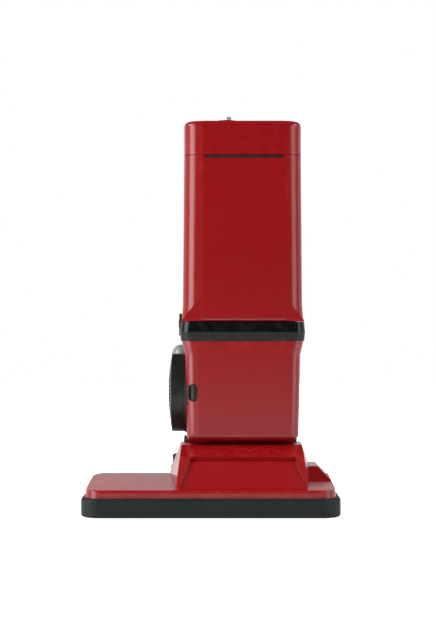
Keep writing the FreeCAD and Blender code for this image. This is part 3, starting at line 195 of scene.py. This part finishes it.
def band_plastic():
    return moulded("band_plastic", dark=(0.0016, 0.0022, 0.0017), light=(0.0028, 0.0034, 0.0029),
                   rough=(0.16, 0.24), grain=1500.0, depth=0.00006, specular=0.25)


def vent_plastic():
    return moulded("vent_plastic", dark=(0.005, 0.006, 0.005), light=(0.007, 0.008, 0.007),
                   rough=(0.36, 0.46), grain=1300.0, depth=0.00010, specular=0.28)


def grey_plastic():
    return moulded("grey_plastic", dark=(0.27, 0.28, 0.29), light=(0.34, 0.35, 0.36),
                   rough=(0.32, 0.48), grain=1300.0, depth=0.00008)


def bumper_rubber():
    return moulded("bumper_rubber", dark=(0.006, 0.009, 0.008), light=(0.009, 0.012, 0.011),
                   rough=(0.42, 0.54), grain=1100.0, depth=0.00016, specular=0.18)


def tyre_rubber():
    return moulded("tyre_rubber", dark=(0.040, 0.040, 0.043), light=(0.060, 0.060, 0.062),
                   rough=(0.62, 0.80), grain=800.0, depth=0.00022)


def clear_plastic():
    m = Nodes("clear_plastic", Base_Color=(0.30, 0.31, 0.31, 1.0), Transmission_Weight=0.35,
              IOR=1.49)
    m.rough(m.spread(m.noise(50.0, 5.0, 0.6), 0.10, 0.26))
    m.normal(m.bump(m.noise(40.0, 3.0, 0.5), 0.2, 0.0004))
    return m.material


def dark_lens():
    m = Nodes("dark_lens", Specular_IOR_Level=0.15)
    m.colour(m.colours(m.noise(120.0, 2.0), (0.3, (0.006, 0.014, 0.009)),
                       (0.7, (0.011, 0.026, 0.016))))
    m.rough(m.spread(m.noise(80.0, 4.0), 0.05, 0.14))
    m.normal(m.bump(m.wave(320.0, "Z"), 0.25, 0.00012))
    return m.material


def metal(name, colour, rough, stretch):
    """Bare metal with fine marks drawn out along one axis."""
    m = Nodes(name, Metallic=1.0)
    dark = tuple(c * 0.82 for c in colour)
    m.colour(m.colours(m.noise(40.0, 5.0, 0.7), (0.3, dark), (0.7, colour)))
    m.rough(m.spread(m.noise(300.0, 3.0, 0.6, stretch), *rough))
    m.normal(m.bump(m.noise(420.0, 2.0, 0.5, stretch), 0.25, 0.00008))
    return m.material


def plated_steel():
    return metal("plated_steel", colour=(0.58, 0.59, 0.60), rough=(0.22, 0.40),
                 stretch=(0.05, 1.0, 1.0))


def turned_aluminium():
    return metal("turned_aluminium", colour=(0.66, 0.67, 0.68), rough=(0.20, 0.36),
                 stretch=(1.0, 0.05, 0.05))


def motor_stack():
    """The thin steel plates of an armature, on edge."""
    m = Nodes("motor_stack", Metallic=0.9)
    m.colour(m.colours(m.wave(900.0, "X"), (0.3, (0.16, 0.15, 0.15)), (0.6, (0.42, 0.40, 0.39))))
    m.rough(m.spread(m.noise(90.0), 0.35, 0.55))
    m.normal(m.bump(m.wave(900.0, "X"), 0.5, 0.0003))
    return m.material


def bristle():
    m = Nodes("bristle")
    m.colour(m.colours(m.noise(500.0, 2.0, 0.6, (1.0, 0.1, 0.1)),
                       (0.3, (0.012, 0.012, 0.013)), (0.7, (0.045, 0.045, 0.048))))
    m.rough(m.spread(m.noise(90.0), 0.4, 0.6))
    m.normal(m.bump(m.noise(1400.0, 1.0), 0.4, 0.0002))
    return m.material


def bag_paper():
    m = Nodes("bag_paper", Sheen_Weight=0.25, Sheen_Roughness=0.6)
    fibres = m.noise(260.0, 6.0, 0.75, (1.0, 1.0, 0.25))
    m.colour(m.colours(fibres, (0.30, (0.50, 0.42, 0.30)), (0.55, (0.62, 0.54, 0.41)),
                       (0.75, (0.70, 0.63, 0.50))))
    m.rough(m.spread(m.noise(50.0, 4.0), 0.78, 0.92))
    creases = m.bump(m.noise(11.0, 5.0, 0.6), 0.5, 0.004)
    m.normal(m.bump(fibres, 0.4, 0.0004, creases))
    return m.material


def card():
    m = Nodes("card")
    m.colour(m.colours(m.noise(200.0, 5.0, 0.7), (0.3, (0.36, 0.25, 0.15)),
                       (0.7, (0.46, 0.34, 0.21))))
    m.rough(m.spread(m.noise(60.0), 0.75, 0.9))
    m.normal(m.bump(m.wave(260.0, "X"), 0.2, 0.0003))
    return m.material


def filter_foam():
    m = Nodes("filter_foam")
    cells = m.voronoi(420.0)
    m.colour(m.colours(cells, (0.1, (0.012, 0.012, 0.014)), (0.6, (0.085, 0.085, 0.092))))
    m.rough(m.spread(m.noise(90.0), 0.85, 0.98))
    m.normal(m.bump(cells, 0.9, 0.0012))
    return m.material


def filter_pleat():
    m = Nodes("filter_pleat", Sheen_Weight=0.15)
    m.colour(m.colours(m.noise(180.0, 5.0, 0.7), (0.3, (0.66, 0.66, 0.62)),
                       (0.7, (0.80, 0.80, 0.76))))
    m.rough(m.spread(m.noise(70.0), 0.8, 0.95))
    m.normal(m.bump(m.noise(600.0, 3.0), 0.3, 0.0002))
    return m.material


def circuit():
    m = Nodes("circuit", Coat_Weight=0.4, Coat_Roughness=0.2)
    tracks = m.voronoi(240.0, "DISTANCE_TO_EDGE")
    m.colour(m.colours(tracks, (0.03, (0.03, 0.17, 0.06)), (0.10, (0.008, 0.07, 0.025))))
    m.rough(m.spread(m.noise(90.0), 0.3, 0.5))
    m.normal(m.bump(tracks, 0.3, 0.0002))
    return m.material


# The material of each slot in the record
MATERIALS = {
    "red_shell": red_shell(), "black_plastic": black_plastic(), "grey_plastic": grey_plastic(),
    "bumper_rubber": bumper_rubber(), "tyre": tyre_rubber(), "clear_plastic": clear_plastic(),
    "dark_lens": dark_lens(), "steel": plated_steel(), "pulley": turned_aluminium(),
    "armature": motor_stack(), "bristle": bristle(), "bag_paper": bag_paper(),
    "foam": filter_foam(), "pleat": filter_pleat(), "board": circuit(),
}
# Parts that look unlike the rest of their slot
JET_BLACK = band_plastic()
OWN_LOOK = {"mid_band": JET_BLACK, "window_bezel": JET_BLACK, "exhaust_cap": vent_plastic()}
CARD = card()


EDGE_ANGLE = 30.0         # faces that meet at more than this make an edge


def dress(obj, material):
    """Gives a mesh one material."""
    obj.data.materials.clear()
    obj.data.materials.append(material)


def soften(obj, width):
    """Rounds a hard piece's edges as a mould does, and shades it smoothly between them."""
    mesh = obj.data
    mesh.shade_smooth()
    mesh.set_sharp_from_angle(angle=math.radians(EDGE_ANGLE))
    if width > 0:
        bevel = obj.modifiers.new("rounded edges", "BEVEL")
        bevel.width = width
        bevel.segments = 3
        bevel.limit_method = "ANGLE"
        bevel.angle_limit = math.radians(EDGE_ANGLE)
        bevel.harden_normals = True
        bevel.use_clamp_overlap = True


# How round each part's outer edges are, in millimetres
EDGE = {
    "hood": 2.0, "bag_door": 1.3, "top_cap": 1.0, "lower_front_shell": 0.9, "lower_rear_shell": 0.9,
    "upper_housing": 0.9, "mid_band": 0.9, "bumper": 2.0, "chassis": 0.6, "exhaust_cap": 0.35,
    "exhaust_ring": 0.6, "wand_socket": 0.9, "recline_yoke": 0.8, "release_pedal": 0.8,
    "cord_hook_lower": 1.5, "cord_hook_upper": 1.5, "tyre_left": 2.0, "tyre_right": 2.0,
    "wheel_left": 0.4, "wheel_right": 0.4, "swivel_housing": 0.8, "lock_button": 0.7,
    "latch_bar": 0.3, "rocker_switch": 0.6, "riser_clips": 0.8, "window_bezel": 0.25,
}


def dress_frame():
    """Gives every carried-over part its material and rounded edges."""
    for row in frame["record"]["subparts"]:
        node = row["node"]
        dress(NODES[node], OWN_LOOK.get(node, MATERIALS[row["material_slot"]]))
        soften(NODES[node], EDGE.get(node, 0.0) * MM)


# ---------------------------------------------------------------- mesh building
def mesh_object(name, bm, material, smooth):
    """Makes a piece from a finished bmesh, smooth where its faces meet at less than an angle."""
    bmesh.ops.recalc_face_normals(bm, faces=bm.faces)
    mesh = bpy.data.meshes.new(name)
    bm.to_mesh(mesh)
    bm.free()
    obj = bpy.data.objects.new(name, mesh)
    bpy.context.scene.collection.objects.link(obj)
    mesh.shade_smooth()
    mesh.set_sharp_from_angle(angle=math.radians(smooth))
    mesh.materials.append(material)
    return obj


def skin_rings(bm, rings, closed_tube=False, capped=False):
    """Joins successive rings of points with quads."""
    rows = [[bm.verts.new(p) for p in ring] for ring in rings]
    spans = len(rows) if closed_tube else len(rows) - 1
    for i in range(spans):
        a = rows[i]
        b = rows[(i + 1) % len(rows)]
        for j in range(len(a)):
            k = (j + 1) % len(a)
            bm.faces.new((a[j], a[k], b[k], b[j]))
    if capped:
        bm.faces.new(rows[0][::-1])
        bm.faces.new(rows[-1])


# ---------------------------------------------------------------- filter bag
BAG_LOW, BAG_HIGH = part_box("filter_bag")
BAG_X = 0.5 * (BAG_LOW.x + BAG_HIGH.x)
BAG_SIDES = 96
BAG_LEVELS = 60
BAG_DEPTH = 0.118         # front to back where the sack is fullest
BAG_MIDDLE_Y = 0.022      # at its foot
BAG_LEAN = 0.012          # how much further back its top is
BAG_SIDE_ROOM = 6 * MM    # left free beside the sack, both sides together
BAG_FOOT_ROOM = 2 * MM
BAG_END_ROOM = 5 * MM     # left free below and above it together
BAG_CORNER = 0.42         # the power of the sack's outline: 1 is an ellipse, 0 a rectangle
TOP_FOLD = 0.9            # the level above which the sack narrows to its folded top
GUSSET_DEPTH = 0.011
GUSSET_SPAN = 0.30
CREASE_SHIFT = 0.7        # turns the creases round the sack
SLACK = 1.4               # how far the creases stand out
END_STEPS = 6             # rings that draw each end of the sack shut
SEAM_STEPS = 60
SEAM_SIDES = 12
COLLAR_SIDES = 72


def powered(value, power):
    """A sine or cosine bent towards a rectangle's sides, with its sign kept."""
    return math.copysign(abs(value) ** power, value)


def bag_section(level):
    """Half width, half depth and middle y of the bag at a level from 0 to 1."""
    fill = math.sin(math.pi * min(1.0, level * 1.02 + 0.06)) ** 0.35
    sag = 1.0 - 0.10 * level
    depth = BAG_DEPTH - 0.25 * max(0.0, level - TOP_FOLD)
    half_w = 0.5 * (BAG_HIGH.x - BAG_LOW.x - BAG_SIDE_ROOM) * (0.80 + 0.20 * fill)
    half_d = 0.5 * depth * (0.70 + 0.30 * fill) * sag
    return half_w, half_d, BAG_MIDDLE_Y + BAG_LEAN * level


def bag_point(level, turn):
    """One point of the bag's side, with gussets, creases and slack between them."""
    half_w, half_d, middle = bag_section(level)
    c = math.cos(turn)
    s = math.sin(turn)
    x = half_w * powered(c, BAG_CORNER)
    y = half_d * powered(s, BAG_CORNER)
    gusset = math.exp(-(s / GUSSET_SPAN) ** 2)
    x -= math.copysign(1.0, c) * GUSSET_DEPTH * gusset * (0.35 + 0.65 * level)
    # One broad set of creases and two finer ones
    crease = 0.0016 * math.sin(7 * turn + 9 * level + CREASE_SHIFT) * math.sin(math.pi * level)
    crease += 0.0011 * math.sin(19 * level + 5 * turn)
    crease += 0.0008 * math.sin(31 * level - 3 * turn + CREASE_SHIFT)
    x += crease * c * SLACK
    y += crease * s * SLACK
    z = BAG_LOW.z + BAG_FOOT_ROOM + level * (BAG_HIGH.z - BAG_LOW.z - BAG_END_ROOM)
    z += 0.0016 * math.sin(3 * turn + CREASE_SHIFT) * level
    return Vector((BAG_X + x, middle + y, z))


def drawn_shut(ring, side):
    """Ever smaller rings that close an end of the bag. Side is -1 at its foot and 1 at its top."""
    middle = sum(ring, Vector()) / len(ring)
    rings = []
    for k in range(1, END_STEPS):
        t = k / END_STEPS
        bulge = Vector((0, 0, side * 0.002 * math.sin(t * math.pi / 2)))
        rings.append([middle + (p - middle) * (1.0 - t) + bulge for p in ring])
    return rings


def paper_bag():
    """The hanging paper bag: a creased, gusseted sack, drawn shut at its foot and top."""
    turns = [2 * math.pi * j / BAG_SIDES for j in range(BAG_SIDES)]
    levels = [i / BAG_LEVELS for i in range(BAG_LEVELS + 1)]
    sides = [[bag_point(level, turn) for turn in turns] for level in levels]
    foot = drawn_shut(sides[0], -1)
    top = drawn_shut(sides[-1], 1)
    bm = bmesh.new()
    skin_rings(bm, foot[::-1] + sides + top, capped=True)
    bag = mesh_object("paper_bag", bm, MATERIALS["bag_paper"], 55.0)
    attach(bag, "upright_body")
    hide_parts("filter_bag")


def folded_seam(name, z, half_w, y):
    """A band of paper folded over and glued across the bag, slightly rippled."""
    rings = []
    for i in range(SEAM_STEPS + 1):
        t = -1 + 2 * i / SEAM_STEPS
        puff = 0.0022 + 0.0004 * math.sin(40 * t)
        drop = 0.0012 * math.sin(9 * t)
        ring = []
        for k in range(SEAM_SIDES):
            a = 2 * math.pi * k / SEAM_SIDES
            ring.append(Vector((BAG_X + t * half_w, y + puff * math.cos(a),
                                z + drop + 0.008 * math.sin(a))))
        rings.append(ring)
    bm = bmesh.new()
    skin_rings(bm, rings, capped=True)
    seam = mesh_object(name, bm, MATERIALS["bag_paper"], 50.0)
    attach(seam, "upright_body")


def bag_collar():
    """The card collar that slides into the mount, with a round mouth."""
    clips_low, clips_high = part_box("riser_clips")
    mount_low, mount_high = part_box("bag_mount")
    middle_x = 0.5 * (clips_low.x + clips_high.x)
    middle_z = 0.5 * (mount_low.z + mount_high.z)
    half_w = 36 * MM
    half_h = 27 * MM
    mouth = 15.2 * MM
    corner = 0.18
    front = mount_low.y - 4.5 * MM
    back = mount_low.y - 0.6 * MM
    rings = []
    for y, grow in ((front, 0.0), (front, 1.0), (back, 1.0), (back, 0.0)):
        ring = []
        for j in range(COLLAR_SIDES):
            a = 2 * math.pi * j / COLLAR_SIDES
            in_x = mouth * math.cos(a)
            in_z = mouth * math.sin(a)
            out_x = half_w * powered(math.cos(a), corner)
            out_z = half_h * powered(math.sin(a), corner)
            ring.append(Vector((middle_x + in_x + grow * (out_x - in_x), y,
                                middle_z + in_z + grow * (out_z - in_z))))
        rings.append(ring)
    bm = bmesh.new()
    skin_rings(bm, rings, closed_tube=True)
    collar = mesh_object("bag_collar", bm, CARD, 40.0)
    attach(collar, "upright_body")


# ---------------------------------------------------------------- brush
CORE_LOW, CORE_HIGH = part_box("brush_core")
BRISTLE_LOW, BRISTLE_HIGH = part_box("brush_bristles")
BRUSH_Y = 0.5 * (CORE_LOW.y + CORE_HIGH.y)
BRUSH_Z = 0.5 * (CORE_LOW.z + CORE_HIGH.z)
CORE_R = 0.5 * (CORE_HIGH.z - CORE_LOW.z)
TIP_R = 23.3 * MM
TUFTS_IN_ROW = 62
FILAMENTS = 9
ROOT_WIDTH = 0.42 * MM
MID_WIDTH = 0.36 * MM
TIP_WIDTH = 0.16 * MM


def tuft(bm, x, angle, draw):
    """One tuft: a bundle of tapering, slightly splayed filaments."""
    for _ in range(FILAMENTS):
        x0 = x + draw.uniform(-1.5, 1.5) * MM
        a0 = angle + draw.uniform(-0.055, 0.055)
        lean_x = draw.uniform(-1.7, 1.7) * MM
        lean_a = draw.uniform(-0.05, 0.05)
        tip = TIP_R - draw.uniform(0.0, 1.0) * MM
        root = CORE_R - 1.0 * MM
        middle = 0.5 * (CORE_R + tip)
        rings = []
        for r, shift, width in ((root, 0.0, ROOT_WIDTH), (middle, 0.4, MID_WIDTH),
                                (tip, 1.0, TIP_WIDTH)):
            a = a0 + lean_a * shift
            along = Vector((0, -math.sin(a), math.cos(a)))
            out = Vector((0, math.cos(a), math.sin(a)))
            centre = Vector((x0 + lean_x * shift, BRUSH_Y, BRUSH_Z)) + out * r
            rings.append([centre + Vector((width, 0, 0)), centre + along * width,
                          centre - Vector((width, 0, 0)), centre - along * width])
        skin_rings(bm, rings, capped=True)


def bristle_rows():
    """Two long V-shaped spirals of tufts, half a turn apart."""
    draw = random.Random(11)
    bm = bmesh.new()
    left = BRISTLE_LOW.x + 3 * MM
    right = BRISTLE_HIGH.x - 3 * MM
    for spiral in range(2):
        for i in range(TUFTS_IN_ROW):
            t = i / (TUFTS_IN_ROW - 1)
            angle = math.pi * spiral + 2.4 * abs(t - 0.5) * 2 + 0.6
            tuft(bm, left + t * (right - left), angle, draw)
    rows = mesh_object("bristle_tufts", bm, MATERIALS["bristle"], 60.0)
    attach(rows, "brush")
    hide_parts("brush_bristles")


# ---------------------------------------------------------------- ribbed hose
HOSE_R = 19 * MM          # of the plain hose in the frame
HOSE_OUT = 18.9 * MM      # over the ribs
HOSE_WALL = 3.2 * MM
HOSE_SIDES = 48
BEND_STEPS = 128
RISE_STEPS = int(BEND_STEPS * 1.9)
CUFF_STEPS = 14
CUFF_GROOVE = 0.6 * MM
RIB_STEPS = 8.0
RIB_DEPTH = 2.6 * MM
BORE_EVERY = 6            # the smooth bore needs fewer rings than the ribs


def frame_rings(path, radius_at, sides):
    """Rings of vertices square to a path of points."""
    rings = []
    side = Vector((1, 0, 0))
    for i, p in enumerate(path):
        ahead = path[min(i + 1, len(path) - 1)] - path[max(i - 1, 0)]
        ahead.normalize()
        side = (side - ahead * side.dot(ahead)).normalized()
        other = ahead.cross(side)
        r = radius_at(i)
        ring = []
        for j in range(sides):
            a = 2 * math.pi * j / sides
            ring.append(p + side * (r * math.cos(a)) + other * (r * math.sin(a)))
        rings.append(ring)
    return rings


def hose_route():
    """The middle of the lower hose: a quarter bend back from the swivel, then up to the elbow."""
    hose_low, hose_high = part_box("lower_hose")
    swivel_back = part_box("swivel_elbow")[1].y
    start = Vector((hose_high.x - HOSE_R, swivel_back, hose_low.z + HOSE_R))
    bend = hose_high.y - HOSE_R - start.y
    centre = start + Vector((0, 0, bend))
    turn_end = centre + Vector((0, bend, 0))
    top = Vector((hose_low.x + HOSE_R, turn_end.y, hose_high.z))
    points = []
    for i in range(BEND_STEPS):
        a = 0.5 * math.pi * i / BEND_STEPS
        points.append(centre + Vector((0, bend * math.sin(a), -bend * math.cos(a))))
    rise = Vector((0, 0, (top.z - turn_end.z) / 3))
    for i in range(RISE_STEPS + 1):
        t = i / RISE_STEPS
        u = 1 - t
        points.append(turn_end * u ** 3 + (turn_end + rise) * (3 * u * u * t)
                      + (top - rise) * (3 * u * t * t) + top * t ** 3)
    return points


def ribbed_hose():
    """The flexible hose: round ribs between two plain cuffs, and hollow."""
    route = hose_route()

    def radius_at(i):
        end = min(i, len(route) - 1 - i)
        if end < CUFF_STEPS:
            return HOSE_OUT - (CUFF_GROOVE if end >= CUFF_STEPS - 2 else 0.0)
        wave = 0.5 + 0.5 * math.cos(2 * math.pi * (i - CUFF_STEPS) / RIB_STEPS)
        return HOSE_OUT - RIB_DEPTH * (1 - wave ** 0.7)

    rings = frame_rings(route, radius_at, HOSE_SIDES)
    bore_route = route[::BORE_EVERY] + [route[-1]]
    inner = frame_rings(bore_route, lambda i: HOSE_OUT - HOSE_WALL, HOSE_SIDES)
    bm = bmesh.new()
    skin_rings(bm, rings + inner[::-1], closed_tube=True)
    hose = mesh_object("ribbed_hose", bm, MATERIALS["bumper_rubber"], 50.0)
    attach(hose, "upright_body")
    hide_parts("lower_hose")


# ---------------------------------------------------------------- filters
PLEATS = 40


def pleated_disc():
    """The exhaust filter: a round disc of deep pleats."""
    low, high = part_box("exhaust_filter")
    middle_y = 0.5 * (low.y + high.y)
    middle_z = 0.5 * (low.z + high.z)
    radius = 0.5 * (high.z - low.z) - 1.2 * MM
    least_half = 6 * MM
    bottom = low.x + 0.8 * MM
    crest = high.x - 1.8 * MM
    paper = 0.9 * MM
    edges = 2 * PLEATS
    rings = []
    for i in range(edges + 1):
        z = middle_z - radius + 2 * radius * i / edges
        half = math.sqrt(max(radius ** 2 - (z - middle_z) ** 2, least_half ** 2))
        x = bottom if i % 2 else crest
        front = middle_y - half
        back = middle_y + half
        rings.append([Vector((x, front, z)), Vector((x, back, z)),
                      Vector((x + paper, back, z)), Vector((x + paper, front, z))])
    bm = bmesh.new()
    skin_rings(bm, rings, capped=True)
    disc = mesh_object("pleated_disc", bm, MATERIALS["pleat"], 20.0)
    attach(disc, "upright_body")
    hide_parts("exhaust_filter")


paper_bag()
folded_seam("bag_top_seam", BAG_HIGH.z - 5 * MM, 82 * MM, 0.034)
folded_seam("bag_foot_seam", BAG_LOW.z + 9.5 * MM, 80 * MM, 0.022)
bag_collar()
bristle_rows()
ribbed_hose()
pleated_disc()
dress_frame()


# ---------------------------------------------------------------- room and light
LEFT_POWER = 60.0
RIGHT_POWER = 20.0
FRONT_POWER = 3.0
HIGH_POWER = 30.0
SUN_POWER = 2.7
SUN_SPREAD = 70.0
UNDER_POWER = 14.0        # reaches the underside only through the floor's clear back
FLOOR_GLOW = 0.9          # the lit studio floor looks pure white
FLOOR_DROP = 0.5 * MM     # keeps the floor just clear of what stands on it
FLOOR_REACH = 5.0
FLOOR_SIDES = 24
FLOOR_ROWS = 8


def see_through_from_below(m):
    """Leaves a surface out when its back is seen, so that the underside can be viewed."""
    side = m.tree.nodes.new("ShaderNodeNewGeometry")
    clear = m.tree.nodes.new("ShaderNodeBsdfTransparent")
    mix = m.tree.nodes.new("ShaderNodeMixShader")
    m.link(side.outputs["Backfacing"], mix.inputs[0])
    m.link(m.shader.outputs["BSDF"], mix.inputs[1])
    m.link(clear.outputs["BSDF"], mix.inputs[2])
    m.link(mix.outputs[0], m.tree.nodes["Material Output"].inputs["Surface"])


def floor_mesh():
    """A round floor of rings that grow wider outwards, with a plain middle."""
    bm = bmesh.new()
    turns = [2 * math.pi * j / FLOOR_SIDES for j in range(FLOOR_SIDES)]
    rows = []
    for i in range(1, FLOOR_ROWS + 1):
        r = FLOOR_REACH * (i / FLOOR_ROWS) ** 1.5
        rows.append([bm.verts.new((r * math.cos(a), r * math.sin(a), 0)) for a in turns])
    for a, b in zip(rows, rows[1:]):
        for j in range(FLOOR_SIDES):
            k = (j + 1) % FLOOR_SIDES
            bm.faces.new((a[j], a[k], b[k], b[j]))
    bm.faces.new(rows[0])
    return bm


def floor_material():
    """Pale and matt, glowing only to the camera."""
    m = Nodes("studio_floor", Roughness=0.95, Specular_IOR_Level=0.1,
              Emission_Color=(1.0, 1.0, 1.0, 1.0))
    m.colour(m.colours(m.noise(3.0), (0.3, (0.90, 0.90, 0.90)), (0.7, (0.93, 0.93, 0.93))))
    path = m.tree.nodes.new("ShaderNodeLightPath")
    glow = m.tree.nodes.new("ShaderNodeMath")
    glow.operation = "MULTIPLY"
    glow.inputs[1].default_value = FLOOR_GLOW
    m.link(path.outputs["Is Camera Ray"], glow.inputs[0])
    m.link(glow.outputs["Value"], m.shader.inputs["Emission Strength"])
    see_through_from_below(m)
    return m.material


def room():
    """A pale floor, facing up."""
    floor = mesh_object("studio_floor", floor_mesh(), floor_material(), 30.0)
    floor.location.z = -FLOOR_DROP
    if floor.data.polygons[0].normal.z < 0:
        floor.data.flip_normals()


def place_light(name, kind, place, aim, power, glossy):
    """A lamp aimed at a point. Only a glossy lamp is mirrored in the surfaces that it lights."""
    light = bpy.data.lights.new(name, kind)
    light.energy = power
    obj = bpy.data.objects.new(name, light)
    bpy.context.scene.collection.objects.link(obj)
    obj.location = place
    obj.rotation_euler = (Vector(aim) - Vector(place)).to_track_quat("-Z", "Y").to_euler()
    obj.visible_glossy = glossy
    return light


def soft_box(name, place, aim, size, power, glossy=True):
    """A rectangular lamp of a width and height."""
    light = place_light(name, "AREA", place, aim, power, glossy)
    light.shape = "RECTANGLE"
    light.size = size[0]
    light.size_y = size[1]


def lights():
    """A large soft box at each side, fainter lamps high, in front and below, and a wide sun."""
    aim = (0.03, 0.0, 0.40)
    soft_box("left_box", (-1.95, -1.25, 0.85), aim, (1.55, 1.9), LEFT_POWER)
    soft_box("right_box", (2.05, -1.15, 0.80), aim, (1.30, 1.7), RIGHT_POWER)
    soft_box("front_fill", (0.2, -3.4, 1.9), aim, (1.6, 1.2), FRONT_POWER, glossy=False)
    soft_box("left_high", (-2.1, -0.3, 2.1), aim, (1.0, 1.0), HIGH_POWER)
    soft_box("right_high", (2.2, -0.3, 2.1), aim, (1.0, 1.0), 0.7 * HIGH_POWER)
    origin = (0.0, 0.0, 0.0)
    soft_box("under_fill", (0.0, -0.4, -1.6), origin, (2.0, 2.0), UNDER_POWER, glossy=False)
    sun = place_light("floor_sun", "SUN", (0.0, 0.0, 4.0), origin, SUN_POWER, glossy=False)
    sun.angle = math.radians(SUN_SPREAD)


def fade(tree, value, low, high, first, second):
    """A smooth step between two numbers as a value goes from low to high."""
    node = tree.nodes.new("ShaderNodeMapRange")
    node.interpolation_type = "SMOOTHSTEP"
    node.inputs["From Min"].default_value = low
    node.inputs["From Max"].default_value = high
    node.inputs["To Min"].default_value = first
    node.inputs["To Max"].default_value = second
    tree.links.new(value, node.inputs["Value"])
    return node.outputs["Result"]


def sky():
    """White to the camera. To all else, a pale low wall behind the machine and a dark ceiling."""
    world = bpy.data.worlds.new("studio")
    world.use_nodes = True
    tree = world.node_tree
    seen = tree.nodes["Background"]
    seen.inputs["Color"].default_value = (1.0, 1.0, 1.0, 1.0)
    seen.inputs["Strength"].default_value = 1.0
    place = tree.nodes.new("ShaderNodeTexCoord")
    split = tree.nodes.new("ShaderNodeSeparateXYZ")
    tree.links.new(place.outputs["Generated"], split.inputs[0])
    low = fade(tree, split.outputs["Z"], 0.15, 0.55, 1.0, 0.02)
    back = fade(tree, split.outputs["Y"], -0.35, 0.40, 0.05, 0.85)
    both = tree.nodes.new("ShaderNodeMath")
    both.operation = "MULTIPLY"
    tree.links.new(low, both.inputs[0])
    tree.links.new(back, both.inputs[1])
    soft = tree.nodes.new("ShaderNodeBackground")
    soft.inputs["Color"].default_value = (1.0, 1.0, 1.0, 1.0)
    tree.links.new(both.outputs["Value"], soft.inputs["Strength"])
    path = tree.nodes.new("ShaderNodeLightPath")
    mix = tree.nodes.new("ShaderNodeMixShader")
    tree.links.new(path.outputs["Is Camera Ray"], mix.inputs[0])
    tree.links.new(soft.outputs[0], mix.inputs[1])
    tree.links.new(seen.outputs[0], mix.inputs[2])
    tree.links.new(mix.outputs[0], tree.nodes["World Output"].inputs["Surface"])
    bpy.context.scene.world = world


# ---------------------------------------------------------------- camera
CAMERA_BACK = 2.370       # from the bumper's front face
CAMERA_HEIGHT = 0.358
CAMERA_SIDE = 0.0130
LENS_MM = 74.1
SENSOR_MM = 36.0


def camera():
    """A level camera in front of the machine."""
    data = bpy.data.cameras.new("camera")
    data.lens = LENS_MM
    data.sensor_width = SENSOR_MM
    data.clip_end = 60.0
    obj = bpy.data.objects.new("camera", data)
    bpy.context.scene.collection.objects.link(obj)
    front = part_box("bumper")[0].y
    obj.location = (CAMERA_SIDE, front - CAMERA_BACK, CAMERA_HEIGHT)
    obj.rotation_euler = (math.radians(90), 0, 0)
    bpy.context.scene.camera = obj


room()
lights()
sky()
camera()
bpy.context.scene.view_settings.view_transform = "Standard"
